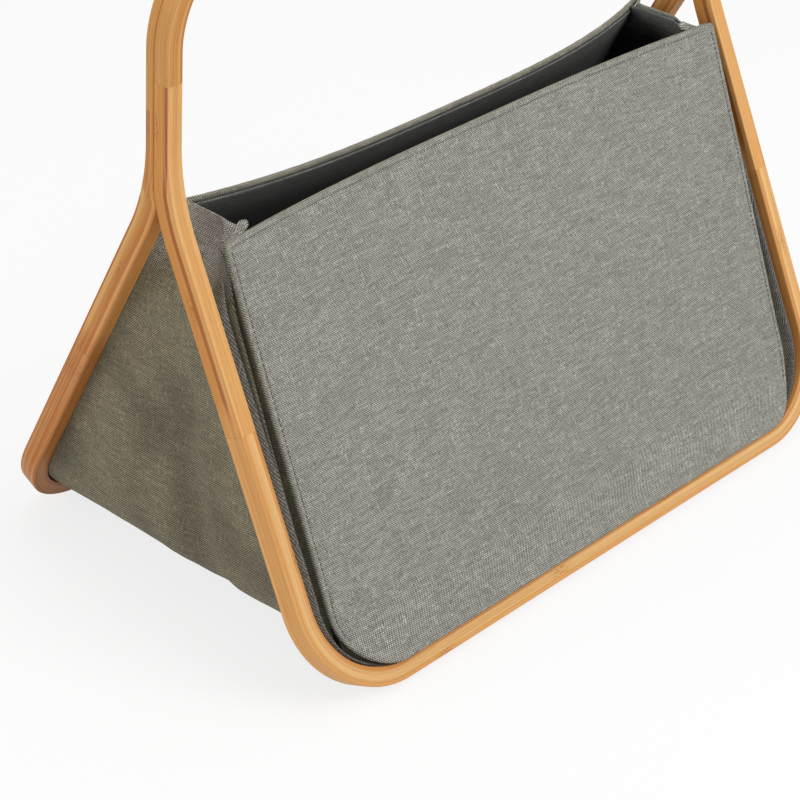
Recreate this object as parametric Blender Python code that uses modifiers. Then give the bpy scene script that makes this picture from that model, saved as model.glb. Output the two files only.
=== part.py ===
"""Fabric storage basket: two bent bamboo hoops glued together in a carrying handle, and a stiff-sided cloth bag.

Metres, +Z up. The origin is on the floor under the middle of the basket. The front hoop leans back from -Y and the
back hoop leans forward from +Y, so the ends look like an upside-down Y. X runs along the basket.
"""
from math import acos, atan2, cos, hypot, pi, radians, sin, tan

import bmesh
import bpy
from mathutils import Matrix, Vector

# Frame of bent bamboo bars
LENGTH = 0.450
FOOT_SPREAD = 0.270
HEIGHT = 0.400
LEG_TILT = radians(26.2)
BAR_WIDTH = 0.0105
BAR_DEPTH = 0.0130
BAR_ROUNDING = 0.0014
CORNER_RADIUS = 0.061
FOOT_FLAT_CUT = 0.0015
NECK_RADIUS = 0.115
FRONT_STEM_DEPTH = 0.0100
BACK_STEM_DEPTH = 0.0060
LEG_JOINT_RISE = 0.160
FRONT_HANDLE_JOINT_SHARE = 0.686
BACK_HANDLE_JOINT_SHARE = 0.353
HANDLE_CORNER_SHARE = 0.8
GLUE_GAP = 0.0003

# Dowels in the four leg joints
DOWEL_DIAMETER = 0.0050
DOWEL_LENGTH = 0.0240
DOWEL_CLEARANCE = 0.0002
DOWEL_CHAMFER = 0.0005

# Stiff cloth walls: a board in a sewn sleeve
PANEL_SIDE_GAP = 0.0105
PANEL_SEAT_GAP = 0.0005
PANEL_FOOT_DEPTH = 0.0069
PANEL_TOP_HEIGHT = 0.2375
FRONT_TOP_REACH = 0.0285
BACK_TOP_REACH = 0.0295
FRONT_BOW = 0.0080
BACK_BOW = 0.0230
BOW_POWER = 3
PANEL_TOP_RADIUS = 0.0040
BOARD_THICKNESS = 0.0018
CLOTH_THICKNESS = 0.0006
BOARD_CLEARANCE = 0.0003
SLEEVE_MOUTH_MARGIN = 0.0060

# Floor of the bag
BASE_WALL_GAP = 0.0006
BASE_CORNER_RADIUS = 0.0040

# Cloth ends between the legs
GUSSET_THICKNESS = 0.0010
GUSSET_BAR_GAP = 0.0008
GUSSET_SETBACK = 0.0008
GUSSET_LAP = 0.0030
GUSSET_FREE_HEIGHT = 0.1850
GUSSET_PULL = 0.0250
GUSSET_HEM_REACH = 0.0040
GUSSET_HEM_LIFT = 0.0040

# Lining inside the bag
LINING_THICKNESS = 0.0005
LINING_GAP = 0.0022
LINING_END_GAP = 0.0040
LINING_HEM_DROP = 0.0030

# Touching pieces, cutters and the finest detail that is merged
TOUCH_GAP = 0.0003
CUTTER_OVERRUN = 0.0200
MERGE_DISTANCE = 0.00002

# Numbers of facets
CORNER_STEPS = 10
NECK_STEPS = 8
SMALL_CORNER_STEPS = 3
ROUNDING_STEPS = 2
ROUND_SIDES = 16
PANEL_COLUMNS = 20
PANEL_ROWS = 7
GUSSET_CORNER_ROWS = 7
GUSSET_WALL_ROWS = 9
GUSSET_WEB_COLUMNS = 6
LINING_LONG_COLUMNS = 10
LINING_END_COLUMNS = 3

# Sizes that follow from the ones above
GUSSET_DEPTH = BAR_DEPTH - GUSSET_SETBACK
FOOT_HEIGHT = BAR_DEPTH * sin(LEG_TILT) - FOOT_FLAT_CUT
STEM_DEPTH = FRONT_STEM_DEPTH + BACK_STEM_DEPTH
SEAM_Y = FRONT_STEM_DEPTH - STEM_DEPTH / 2
BAR_CENTRE_X = LENGTH / 2 - BAR_WIDTH / 2
INNER_HALF_LENGTH = LENGTH / 2 - BAR_WIDTH
PANEL_HALF_LENGTH = INNER_HALF_LENGTH - PANEL_SIDE_GAP
PANEL_CORNER_RADIUS = CORNER_RADIUS - BAR_WIDTH - PANEL_SIDE_GAP
PANEL_THICKNESS = BOARD_THICKNESS + 2 * (BOARD_CLEARANCE + CLOTH_THICKNESS)
RAIL_HALF_LENGTH = LENGTH / 2 - CORNER_RADIUS

FRONT = -1
BACK = 1
SIDE_NAMES = {FRONT: "front", BACK: "back"}
END_NAMES = {-1: "left", 1: "right"}


# Scene and materials

def clear_scene():
    """Removes what a new Blender file holds."""
    for old in list(bpy.data.objects):
        bpy.data.objects.remove(old, do_unlink=True)


def new_collection(name):
    collection = bpy.data.collections.new(name)
    bpy.context.scene.collection.children.link(collection)
    return collection


def new_material(name, colour, roughness, metallic=0.0):
    material = bpy.data.materials.new(name)
    material.use_nodes = True
    shader = material.node_tree.nodes["Principled BSDF"]
    shader.inputs["Base Color"].default_value = (*colour, 1.0)
    shader.inputs["Roughness"].default_value = roughness
    shader.inputs["Metallic"].default_value = metallic
    return material


# Frames of the leaning parts

def slope_frame(side, foot_y, foot_z, tilt):
    """Local X runs along the basket, local Y up the slope, local Z straight out of the basket."""
    turn = Matrix.Rotation(pi if side == BACK else 0, 4, "Z")
    return turn @ Matrix.Translation((0, -foot_y, foot_z)) @ Matrix.Rotation(pi / 2 - tilt, 4, "X")


def hoop_frame(side):
    """The plane of a hoop's outer face, from the lower edge of its rail."""
    return slope_frame(side, FOOT_SPREAD / 2, FOOT_HEIGHT, LEG_TILT)


def panel_shape(side):
    """Frame, height and bow of a stiff wall, which stands on its rail and leans out at the top."""
    foot = hoop_frame(FRONT) @ Vector((0, BAR_WIDTH + PANEL_SEAT_GAP, -PANEL_FOOT_DEPTH))
    reach = FRONT_TOP_REACH if side == FRONT else BACK_TOP_REACH
    run = -foot.y - reach
    climb = PANEL_TOP_HEIGHT - foot.z
    return {"frame": slope_frame(side, -foot.y, foot.z, atan2(run, climb)),
            "height": hypot(run, climb),
            "bow": FRONT_BOW if side == FRONT else BACK_BOW}


def hoop_rise(height, depth):
    """How far up the slope a point at this depth of a hoop lies, from its height above the floor."""
    return (height - FOOT_HEIGHT + depth * sin(LEG_TILT)) / cos(LEG_TILT)


def panel_depth(panel, x, rise, depth):
    """Depth behind the outer face's plane, with the wall's inward bow added."""
    across = 1 - abs(x / PANEL_HALF_LENGTH) ** BOW_POWER
    up = max(rise, 0) / panel["height"]
    return depth + panel["bow"] * max(across, 0) * up ** 2


def panel_point(panel, side, x, rise, depth):
    local = Vector((-side * x, rise, -panel_depth(panel, x, rise, depth)))
    return panel["frame"] @ local


# Shapes

def link(mesh, name, collection, material=None):
    piece = bpy.data.objects.new(name, mesh)
    collection.objects.link(piece)
    if material:
        mesh.materials.clear()
        mesh.materials.append(material)
    return piece


def arc(centre, radius, start, end, steps):
    """Points along an arc, angles in radians, both ends included."""
    turns = [start + (end - start) * step / steps for step in range(steps + 1)]
    return [(centre[0] + radius * cos(turn), centre[1] + radius * sin(turn)) for turn in turns]


def mesh_from_outline(name, outline, thickness):
    """A flat outline, filled and extruded to both sides of its plane, as one closed mesh."""
    curve = bpy.data.curves.new(name, "CURVE")
    curve.dimensions = "2D"
    curve.fill_mode = "BOTH"
    curve.extrude = thickness / 2
    spline = curve.splines.new("POLY")
    spline.points.add(len(outline) - 1)
    for point, (x, y) in zip(spline.points, outline):
        point.co = (x, y, 0, 1)
    spline.use_cyclic_u = True
    guide = bpy.data.objects.new(name, curve)
    bpy.context.scene.collection.objects.link(guide)
    evaluated = guide.evaluated_get(bpy.context.evaluated_depsgraph_get())
    mesh = bpy.data.meshes.new_from_object(evaluated)
    bpy.data.objects.remove(guide, do_unlink=True)
    bpy.data.curves.remove(curve)
    shape = bmesh.new()
    shape.from_mesh(mesh)
    bmesh.ops.remove_doubles(shape, verts=shape.verts, dist=MERGE_DISTANCE)
    bmesh.ops.dissolve_limit(shape, angle_limit=radians(1), verts=shape.verts, edges=shape.edges)
    bmesh.ops.recalc_face_normals(shape, faces=shape.faces)
    shape.to_mesh(mesh)
    shape.free()
    mesh.name = name
    return mesh


def mark_rounded_edges(mesh, outline, square_segments):
    """Gives every long edge of an extruded outline a bevel weight, but for the outline's square segments."""
    count = len(outline)
    flat = [Vector((x, y)) for x, y in outline]
    weights = mesh.attributes.new("bevel_weight_edge", "FLOAT", "EDGE")
    for edge in mesh.edges:
        start, end = (mesh.vertices[index].co for index in edge.vertices)
        if abs(start.z - end.z) > MERGE_DISTANCE:
            continue
        middle = (start.xy + end.xy) / 2
        nearest = min(range(count), key=lambda i: ((flat[i] + flat[(i + 1) % count]) / 2 - middle).length)
        if nearest not in square_segments:
            weights.data[edge.index].value = 1.0


def round_edges(piece):
    rounding = piece.modifiers.new("Rounded edges", "BEVEL")
    rounding.limit_method = "WEIGHT"
    rounding.width = BAR_ROUNDING
    rounding.segments = ROUNDING_STEPS


def shade(piece):
    piece.data.shade_smooth()
    piece.data.set_sharp_from_angle(angle=radians(40))


def cut(piece, cutter, operation="DIFFERENCE"):
    boolean = piece.modifiers.new(cutter.name, "BOOLEAN")
    boolean.operation = operation
    boolean.object = cutter
    cutter.hide_render = True
    cutter.display_type = "WIRE"


def thicken(piece, thickness):
    """Thickens an open sheet equally to both sides."""
    shell = piece.modifiers.new("Thickness", "SOLIDIFY")
    shell.thickness = thickness
    shell.offset = 0
    shell.use_even_offset = True


# Bamboo bars

def lower_bow_outline():
    """U of a hoop's lower half in the hoop's plane: leg, corner, rail, corner, leg."""
    top = LEG_JOINT_RISE - GLUE_GAP / 2
    centre_rise = CORNER_RADIUS
    inner_radius = CORNER_RADIUS - BAR_WIDTH
    outer = [(-LENGTH / 2, top)]
    outer += arc((-RAIL_HALF_LENGTH, centre_rise), CORNER_RADIUS, pi, 1.5 * pi, CORNER_STEPS)
    outer += arc((RAIL_HALF_LENGTH, centre_rise), CORNER_RADIUS, 1.5 * pi, 2 * pi, CORNER_STEPS)
    outer += [(LENGTH / 2, top)]
    inner = [(INNER_HALF_LENGTH, top)]
    inner += arc((RAIL_HALF_LENGTH, centre_rise), inner_radius, 2 * pi, 1.5 * pi, CORNER_STEPS)
    inner += arc((-RAIL_HALF_LENGTH, centre_rise), inner_radius, 1.5 * pi, pi, CORNER_STEPS)
    inner += [(-INNER_HALF_LENGTH, top)]
    ends = {len(outer) - 1, len(outer) + len(inner) - 1}
    return outer + inner, ends


def handle_corner_radius():
    """The handle bends like the rails' corners, or as much tighter as the room above the neck asks."""
    return min(CORNER_RADIUS, HANDLE_CORNER_SHARE * (HEIGHT - neck_centre()[1]))


def handle_joint_height(side):
    """Height of the joint between upright and handle, on the straight stem above the neck."""
    share = FRONT_HANDLE_JOINT_SHARE if side == FRONT else BACK_HANDLE_JOINT_SHARE
    stem_foot = neck_centre()[1]
    stem_top = HEIGHT - handle_corner_radius()
    return stem_foot + (stem_top - stem_foot) * share


def handle_bow_outline(side):
    """Upside-down U of the handle, in the XZ plane."""
    bottom = handle_joint_height(side) + GLUE_GAP / 2
    radius = handle_corner_radius()
    centre_x = LENGTH / 2 - radius
    centre_z = HEIGHT - radius
    inner_radius = radius - BAR_WIDTH
    outer = [(LENGTH / 2, bottom)]
    outer += arc((centre_x, centre_z), radius, 0, pi / 2, CORNER_STEPS)
    outer += arc((-centre_x, centre_z), radius, pi / 2, pi, CORNER_STEPS)
    outer += [(-LENGTH / 2, bottom)]
    inner = [(-INNER_HALF_LENGTH, bottom)]
    inner += arc((-centre_x, centre_z), inner_radius, pi, pi / 2, CORNER_STEPS)
    inner += arc((centre_x, centre_z), inner_radius, pi / 2, 0, CORNER_STEPS)
    inner += [(INNER_HALF_LENGTH, bottom)]
    ends = {len(outer) - 1, len(outer) + len(inner) - 1}
    return outer + inner, ends


def neck_centre():
    """Centre of the neck's bend for the front hoop, as (y, z). The back hoop's is its mirror image."""
    centre_y = -STEM_DEPTH / 2 - NECK_RADIUS
    run = centre_y + NECK_RADIUS * cos(LEG_TILT) + FOOT_SPREAD / 2
    centre_z = FOOT_HEIGHT + run / tan(LEG_TILT) + NECK_RADIUS * sin(LEG_TILT)
    return centre_y, centre_z


def upright_outline(side):
    """Side view of a bent upright as (y, z): leaning leg, neck, and the stem that is glued to its partner.

    The front upright's inner face bends on to the seam. The back upright's inner face stops at the crotch and then
    follows the front upright up the seam, so the pair closes without a hollow.
    """
    centre = neck_centre()
    inner_radius = NECK_RADIUS + BAR_DEPTH
    seam_turn = -acos((SEAM_Y - centre[0]) / inner_radius)
    crotch_turn = -acos((-GLUE_GAP / 2 - centre[0]) / inner_radius)
    top = handle_joint_height(side) - GLUE_GAP / 2
    start = hoop_frame(FRONT) @ Vector((0, LEG_JOINT_RISE + GLUE_GAP / 2, 0))
    start_inner = hoop_frame(FRONT) @ Vector((0, LEG_JOINT_RISE + GLUE_GAP / 2, -BAR_DEPTH))
    outer = [(start.y, start.z)]
    outer += arc(centre, NECK_RADIUS, -LEG_TILT, 0, NECK_STEPS)
    outer += [(-STEM_DEPTH / 2, top)]
    if side == FRONT:
        lap = [(SEAM_Y, top)]
        lap += arc(centre, inner_radius, seam_turn, -LEG_TILT, NECK_STEPS)
        square = {len(outer) - 1, len(outer)}
    else:
        outer = [(-y, z) for y, z in outer]
        lap = [(SEAM_Y + GLUE_GAP, top)]
        lap += [(y + GLUE_GAP, z) for y, z in arc(centre, inner_radius, seam_turn, crotch_turn, SMALL_CORNER_STEPS)]
        square = set(range(len(outer) - 1, len(outer) + len(lap) - 1))
        own = arc(centre, inner_radius, crotch_turn, -LEG_TILT, NECK_STEPS)
        lap += [(-y, z) for y, z in own[1:]]
    lap += [(-side * start_inner.y, start_inner.z)] if side == BACK else [(start_inner.y, start_inner.z)]
    outline = outer + lap
    square.add(len(outline) - 1)
    return outline, square


def make_lower_bow(side, parts, bamboo):
    outline, ends = lower_bow_outline()
    mesh = mesh_from_outline(SIDE_NAMES[side] + "_lower_bow", outline, BAR_DEPTH)
    mark_rounded_edges(mesh, outline, ends)
    bow = link(mesh, mesh.name, parts, bamboo)
    bow.matrix_world = hoop_frame(side) @ Matrix.Translation((0, 0, -BAR_DEPTH / 2))
    round_edges(bow)
    shade(bow)
    return bow


def make_handle_bow(side, parts, bamboo):
    outline, ends = handle_bow_outline(side)
    near = -STEM_DEPTH / 2 if side == FRONT else SEAM_Y + GLUE_GAP
    far = SEAM_Y if side == FRONT else STEM_DEPTH / 2
    mesh = mesh_from_outline(SIDE_NAMES[side] + "_handle_bow", outline, far - near)
    mark_rounded_edges(mesh, outline, ends)
    leave_seam_square(mesh, side)
    bow = link(mesh, mesh.name, parts, bamboo)
    bow.matrix_world = Matrix.Translation((0, (near + far) / 2, 0)) @ Matrix.Rotation(pi / 2, 4, "X")
    round_edges(bow)
    shade(bow)
    return bow


def leave_seam_square(mesh, side):
    """Takes the rounding off the handle bow's glued face. Local +Z is the front."""
    weights = mesh.attributes["bevel_weight_edge"]
    for edge in mesh.edges:
        height = mesh.vertices[edge.vertices[0]].co.z
        if height * side > 0:
            weights.data[edge.index].value = 0.0


def make_upright(side, end, parts, bamboo):
    outline, square = upright_outline(side)
    name = SIDE_NAMES[side] + "_" + END_NAMES[end] + "_upright"
    mesh = mesh_from_outline(name, outline, BAR_WIDTH)
    mark_rounded_edges(mesh, outline, square)
    upright = link(mesh, name, parts, bamboo)
    quarter = Matrix.Rotation(pi / 2, 4, "Z") @ Matrix.Rotation(pi / 2, 4, "X")
    upright.matrix_world = Matrix.Translation((end * BAR_CENTRE_X, 0, 0)) @ quarter
    round_edges(upright)
    shade(upright)
    return upright


def add_cylinder(name, radius, length, collection):
    mesh = bpy.data.meshes.new(name)
    shape = bmesh.new()
    bmesh.ops.create_cone(shape, cap_ends=True, segments=ROUND_SIDES, radius1=radius, radius2=radius, depth=length)
    shape.to_mesh(mesh)
    shape.free()
    return link(mesh, name, collection)


def dowel_place(side, end):
    """Middle of a leg joint, with local Z along the leg."""
    middle = Matrix.Translation((-side * end * BAR_CENTRE_X, LEG_JOINT_RISE, -BAR_DEPTH / 2))
    return hoop_frame(side) @ middle @ Matrix.Rotation(-pi / 2, 4, "X")


def make_dowel(side, end, parts, cutters, wood):
    """A dowel, and the cutter of its two blind holes, which it returns."""
    name = SIDE_NAMES[side] + "_" + END_NAMES[end] + "_dowel"
    dowel = add_cylinder(name, DOWEL_DIAMETER / 2, DOWEL_LENGTH, parts)
    dowel.data.materials.append(wood)
    dowel.matrix_world = dowel_place(side, end)
    chamfer = dowel.modifiers.new("Chamfer", "BEVEL")
    chamfer.width = DOWEL_CHAMFER
    chamfer.segments = 1
    chamfer.angle_limit = radians(60)
    shade(dowel)
    reach = DOWEL_LENGTH + 2 * DOWEL_CHAMFER
    hole = add_cylinder(name + "_hole", DOWEL_DIAMETER / 2 + DOWEL_CLEARANCE, reach, cutters)
    hole.matrix_world = dowel_place(side, end)
    return hole


def make_floor_cutter(cutters):
    """Box below the floor, which planes the rails level."""
    mesh = bpy.data.meshes.new("floor_cutter")
    shape = bmesh.new()
    bmesh.ops.create_cube(shape, size=1)
    size = Vector((LENGTH, FOOT_SPREAD, CUTTER_OVERRUN))
    bmesh.ops.scale(shape, vec=size + Vector((CUTTER_OVERRUN, CUTTER_OVERRUN, 0)), verts=shape.verts)
    bmesh.ops.translate(shape, vec=(0, 0, -CUTTER_OVERRUN / 2), verts=shape.verts)
    shape.to_mesh(mesh)
    shape.free()
    return link(mesh, "floor_cutter", cutters)


def make_frame(parts, cutters, bamboo, dowel_wood):
    floor_cutter = make_floor_cutter(cutters)
    for side in (FRONT, BACK):
        lower_bow = make_lower_bow(side, parts, bamboo)
        cut(lower_bow, floor_cutter)
        for end in (-1, 1):
            upright = make_upright(side, end, parts, bamboo)
            hole = make_dowel(side, end, parts, cutters, dowel_wood)
            cut(lower_bow, hole)
            cut(upright, hole)
        make_handle_bow(side, parts, bamboo)


# Stiff walls

def wall_outline(panel, inset):
    """Outline of a wall, with wide lower corners that follow the hoop and small upper ones."""
    half = PANEL_HALF_LENGTH - inset
    top = panel["height"] - inset
    low_radius = PANEL_CORNER_RADIUS - inset
    top_radius = PANEL_TOP_RADIUS
    low_x = half - low_radius
    top_x = half - top_radius
    points = arc((low_x, inset + low_radius), low_radius, 1.5 * pi, 2 * pi, CORNER_STEPS)
    points += arc((top_x, top - top_radius), top_radius, 0, pi / 2, SMALL_CORNER_STEPS)
    points += arc((-top_x, top - top_radius), top_radius, pi / 2, pi, SMALL_CORNER_STEPS)
    points += arc((-low_x, inset + low_radius), low_radius, pi, 1.5 * pi, CORNER_STEPS)
    return points


def sleeve_cavity_outline(panel):
    """Space inside a wall's sleeve, which runs out through the sleeve's lower edge."""
    points = wall_outline(panel, CLOTH_THICKNESS)
    mouth = PANEL_HALF_LENGTH - PANEL_CORNER_RADIUS - SLEEVE_MOUTH_MARGIN
    points += [(-mouth, CLOTH_THICKNESS), (-mouth, -CUTTER_OVERRUN)]
    points += [(mouth, -CUTTER_OVERRUN), (mouth, CLOTH_THICKNESS)]
    return points


def bowed_sheet(name, panel, collection, material=None):
    """Sheet through the middle of a wall's thickness, larger all round than the wall, in the wall's frame."""
    mesh = bpy.data.meshes.new(name)
    shape = bmesh.new()
    bmesh.ops.create_grid(shape, x_segments=PANEL_COLUMNS, y_segments=PANEL_ROWS, size=1)
    half = PANEL_HALF_LENGTH + CUTTER_OVERRUN
    half_height = panel["height"] / 2 + CUTTER_OVERRUN
    for vertex in shape.verts:
        x = vertex.co.x * half
        rise = panel["height"] / 2 + vertex.co.y * half_height
        vertex.co = (x, rise, -panel_depth(panel, x, rise, PANEL_THICKNESS / 2))
    bmesh.ops.triangulate(shape, faces=shape.faces)
    shape.to_mesh(mesh)
    shape.free()
    sheet = link(mesh, name, collection, material)
    sheet.matrix_world = panel["frame"]
    return sheet


def trim_to_outline(sheet, outline, panel, cutters):
    """Keeps only what lies inside an outline of the wall's frame."""
    trim_mesh = mesh_from_outline(sheet.name + "_trim", outline, 2 * (CUTTER_OVERRUN + panel["bow"]))
    trimmer = link(trim_mesh, trim_mesh.name, cutters)
    trimmer.matrix_world = sheet.matrix_world
    cut(sheet, trimmer, "INTERSECT")


def make_wall(side, parts, cutters, cloth, board_material):
    """Sleeve of cloth and the board that stiffens it."""
    panel = panel_shape(side)
    name = SIDE_NAMES[side] + "_panel"
    cavity = bowed_sheet(name + "_cavity", panel, cutters)
    thicken(cavity, BOARD_THICKNESS + 2 * BOARD_CLEARANCE)
    trim_to_outline(cavity, sleeve_cavity_outline(panel), panel, cutters)
    cover = bowed_sheet(name + "_cover", panel, parts, cloth)
    thicken(cover, PANEL_THICKNESS)
    trim_to_outline(cover, wall_outline(panel, 0), panel, cutters)
    cut(cover, cavity)
    board = bowed_sheet(name + "_board", panel, parts, board_material)
    thicken(board, BOARD_THICKNESS)
    trim_to_outline(board, wall_outline(panel, CLOTH_THICKNESS + BOARD_CLEARANCE), panel, cutters)
    return panel


# Floor of the bag

def base_size():
    """Half width and underside of the base, which lies between the walls just above the rails' inner edges."""
    web = hoop_frame(FRONT) @ Vector((0, BAR_WIDTH + GUSSET_BAR_GAP, -GUSSET_DEPTH))
    panel = panel_shape(FRONT)
    wall = panel_point(panel, FRONT, 0, 0, PANEL_THICKNESS)
    top_wall = panel_point(panel, FRONT, 0, PANEL_THICKNESS / cos(LEG_TILT), PANEL_THICKNESS)
    half_width = min(-wall.y, -top_wall.y) - BASE_WALL_GAP
    return half_width, web.z


def base_outline(inset, open_back=False):
    half_length = RAIL_HALF_LENGTH - TOUCH_GAP - inset
    half_width = base_size()[0] - inset
    radius = BASE_CORNER_RADIUS
    points = arc((half_length - radius, -half_width + radius), radius, 1.5 * pi, 2 * pi, SMALL_CORNER_STEPS)
    if open_back:
        points += [(half_length, half_width + CUTTER_OVERRUN), (-half_length, half_width + CUTTER_OVERRUN)]
    else:
        points += arc((half_length - radius, half_width - radius), radius, 0, pi / 2, SMALL_CORNER_STEPS)
        points += arc((-half_length + radius, half_width - radius), radius, pi / 2, pi, SMALL_CORNER_STEPS)
    points += arc((-half_length + radius, -half_width + radius), radius, pi, 1.5 * pi, SMALL_CORNER_STEPS)
    return points


def make_base(parts, cutters, cloth, board_material):
    """Flat sleeve with a stiff board, the floor of the bag."""
    middle = Matrix.Translation((0, 0, base_size()[1] + PANEL_THICKNESS / 2))
    cavity_mesh = mesh_from_outline("base_cavity", base_outline(CLOTH_THICKNESS, True),
                                    BOARD_THICKNESS + 2 * BOARD_CLEARANCE)
    cavity = link(cavity_mesh, "base_cavity", cutters)
    cover = link(mesh_from_outline("base_cover", base_outline(0), PANEL_THICKNESS), "base_cover", parts, cloth)
    board_outline = base_outline(CLOTH_THICKNESS + BOARD_CLEARANCE)
    board = link(mesh_from_outline("base_board", board_outline, BOARD_THICKNESS), "base_board", parts, board_material)
    for piece in (cavity, cover, board):
        piece.matrix_world = middle
    cut(cover, cavity)


# Cloth ends

def smooth_share(value, start, end):
    """0 at start, 1 at end, with level ends."""
    share = min(max((value - start) / (end - start), 0), 1)
    return share * share * (3 - 2 * share)


def web_stations():
    """Points (x, rise) up the inner side of the left legs, in the hoop's plane: corner, then leg."""
    offset = BAR_WIDTH + GUSSET_BAR_GAP + GUSSET_THICKNESS / 2
    corner = arc((-RAIL_HALF_LENGTH, CORNER_RADIUS), CORNER_RADIUS - offset, 1.5 * pi, pi, GUSSET_CORNER_ROWS)
    top = hoop_rise(PANEL_TOP_HEIGHT + GUSSET_HEM_LIFT, GUSSET_DEPTH)
    climb = top - CORNER_RADIUS
    rows = [CORNER_RADIUS + climb * row / GUSSET_WALL_ROWS for row in range(1, GUSSET_WALL_ROWS + 1)]
    return corner + [(-LENGTH / 2 + offset, rise) for rise in rows]


def sewn_stations(panel):
    """Points (x, rise) along the left edge of a wall, in the wall's plane, beside the stations of the web."""
    radius = PANEL_CORNER_RADIUS - GUSSET_LAP
    low_x = -PANEL_HALF_LENGTH + PANEL_CORNER_RADIUS
    corner = arc((low_x, PANEL_CORNER_RADIUS), radius, 1.5 * pi, pi, GUSSET_CORNER_ROWS)
    climb = panel["height"] - PANEL_CORNER_RADIUS
    rows = [PANEL_CORNER_RADIUS + climb * row / GUSSET_WALL_ROWS for row in range(1, GUSSET_WALL_ROWS + 1)]
    return corner + [(-PANEL_HALF_LENGTH + GUSSET_LAP, rise) for rise in rows]


def web_point(side, panel, x, rise):
    """Where the cloth end meets a bar: on the bar's inner side low down, free and drawn in near the top."""
    seated = hoop_frame(side) @ Vector((-side * x, rise, -GUSSET_DEPTH))
    free = smooth_share(seated.z, GUSSET_FREE_HEIGHT, PANEL_TOP_HEIGHT)
    loose = panel_point(panel, side, x + GUSSET_PULL, panel["height"], PANEL_THICKNESS + GUSSET_HEM_REACH)
    return Vector((x + GUSSET_PULL * free, seated.y + (loose.y - seated.y) * free ** 2, seated.z))


def gusset_row(panels, station):
    """One row of the cloth end, front to back: sewn edge, web, sewn edge."""
    web = web_stations()[station]
    depth = PANEL_THICKNESS + TOUCH_GAP + GUSSET_THICKNESS
    sewn = [panel_point(panel, side, *sewn_stations(panel)[station], depth) for side, panel in panels.items()]
    front, back = (web_point(side, panel, *web) for side, panel in panels.items())
    across = [front.lerp(back, column / GUSSET_WEB_COLUMNS) for column in range(GUSSET_WEB_COLUMNS + 1)]
    return [sewn[0]] + across + [sewn[1]]


def mesh_from_rows(name, rows, closed=False):
    """Sheet lofted through rows of points."""
    mesh = bpy.data.meshes.new(name)
    shape = bmesh.new()
    grid = [[shape.verts.new(point) for point in row] for row in rows]
    for lower, upper in zip(grid, grid[1:]):
        count = len(lower)
        for index in range(count if closed else count - 1):
            after = (index + 1) % count
            shape.faces.new((lower[index], lower[after], upper[after], upper[index]))
    if closed:
        shape.faces.new(reversed(grid[0]))
    bmesh.ops.recalc_face_normals(shape, faces=shape.faces)
    shape.to_mesh(mesh)
    shape.free()
    return mesh


def make_gusset(end, panels, parts, cloth):
    """Cloth end of the bag, lofted between the two hoops."""
    rows = [gusset_row(panels, station) for station in range(len(web_stations()))]
    if end > 0:
        rows = [[Vector((-point.x, point.y, point.z)) for point in row] for row in rows]
    gusset = link(mesh_from_rows(END_NAMES[end] + "_gusset", rows), END_NAMES[end] + "_gusset", parts, cloth)
    thicken(gusset, GUSSET_THICKNESS)
    shade(gusset)


# Lining

def lining_half_length(height):
    """Half length of the lining: inside the sewn edges in the corners, inside the drawn-in cloth ends at the top."""
    radius = PANEL_CORNER_RADIUS - GUSSET_LAP - LINING_GAP
    below = (FOOT_HEIGHT + CORNER_RADIUS * cos(LEG_TILT) - height) / cos(LEG_TILT)
    corner = sin(acos(min(max(below / radius, 0), 1)))
    straight = RAIL_HALF_LENGTH + radius * corner
    drawn_in = INNER_HALF_LENGTH - GUSSET_PULL * smooth_share(height, GUSSET_FREE_HEIGHT, PANEL_TOP_HEIGHT)
    return min(straight, drawn_in - GUSSET_THICKNESS - LINING_END_GAP)


def lining_ring(panels, share):
    """Closed ring of the lining at one share of its height, with the walls' bow."""
    depth = PANEL_THICKNESS + LINING_GAP
    floor = base_size()[1] + PANEL_THICKNESS + TOUCH_GAP + LINING_THICKNESS / 2
    walls = []
    for side, panel in panels.items():
        foot = panel["frame"] @ Vector((0, 0, -depth))
        slope = (panel["frame"] @ Vector((0, 1, -depth))).z - foot.z
        low = (floor - foot.z) / slope
        rise = low + (panel["height"] - LINING_HEM_DROP - low) * share
        half = lining_half_length(foot.z + rise * slope)
        columns = [half * (2 * column / LINING_LONG_COLUMNS - 1) for column in range(LINING_LONG_COLUMNS + 1)]
        walls.append([panel_point(panel, side, x, rise, depth) for x in columns])
    front, back = walls
    right = [front[-1].lerp(back[-1], step / LINING_END_COLUMNS) for step in range(1, LINING_END_COLUMNS)]
    left = [back[0].lerp(front[0], step / LINING_END_COLUMNS) for step in range(1, LINING_END_COLUMNS)]
    return front + right + back[::-1] + left


def make_lining(panels, parts, cloth):
    """Thin tub inside the bag, open at the top."""
    ring_shares = (0, 0.02, 0.05, 0.1, 0.15, 0.21, 0.4, 0.6, 0.75, 0.85, 0.93, 1)
    rings = [lining_ring(panels, share) for share in ring_shares]
    lining = link(mesh_from_rows("lining", rings, closed=True), "lining", parts, cloth)
    thicken(lining, LINING_THICKNESS)
    shade(lining)


def main():
    clear_scene()
    parts = new_collection("fabric_storage_basket")
    cutters = new_collection("cutters")
    bamboo = new_material("bamboo", (0.62, 0.35, 0.13), 0.45)
    dowel_wood = new_material("dowel_beech", (0.60, 0.42, 0.24), 0.60)
    cloth = new_material("grey_cloth", (0.27, 0.27, 0.23), 0.90)
    lining_cloth = new_material("charcoal_lining", (0.035, 0.035, 0.032), 0.85)
    board_material = new_material("grey_board", (0.36, 0.33, 0.28), 0.85)
    make_frame(parts, cutters, bamboo, dowel_wood)
    panels = {side: make_wall(side, parts, cutters, cloth, board_material) for side in (FRONT, BACK)}
    make_base(parts, cutters, cloth, board_material)
    for end in (-1, 1):
        make_gusset(end, panels, parts, cloth)
    make_lining(panels, parts, lining_cloth)


main()
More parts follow.
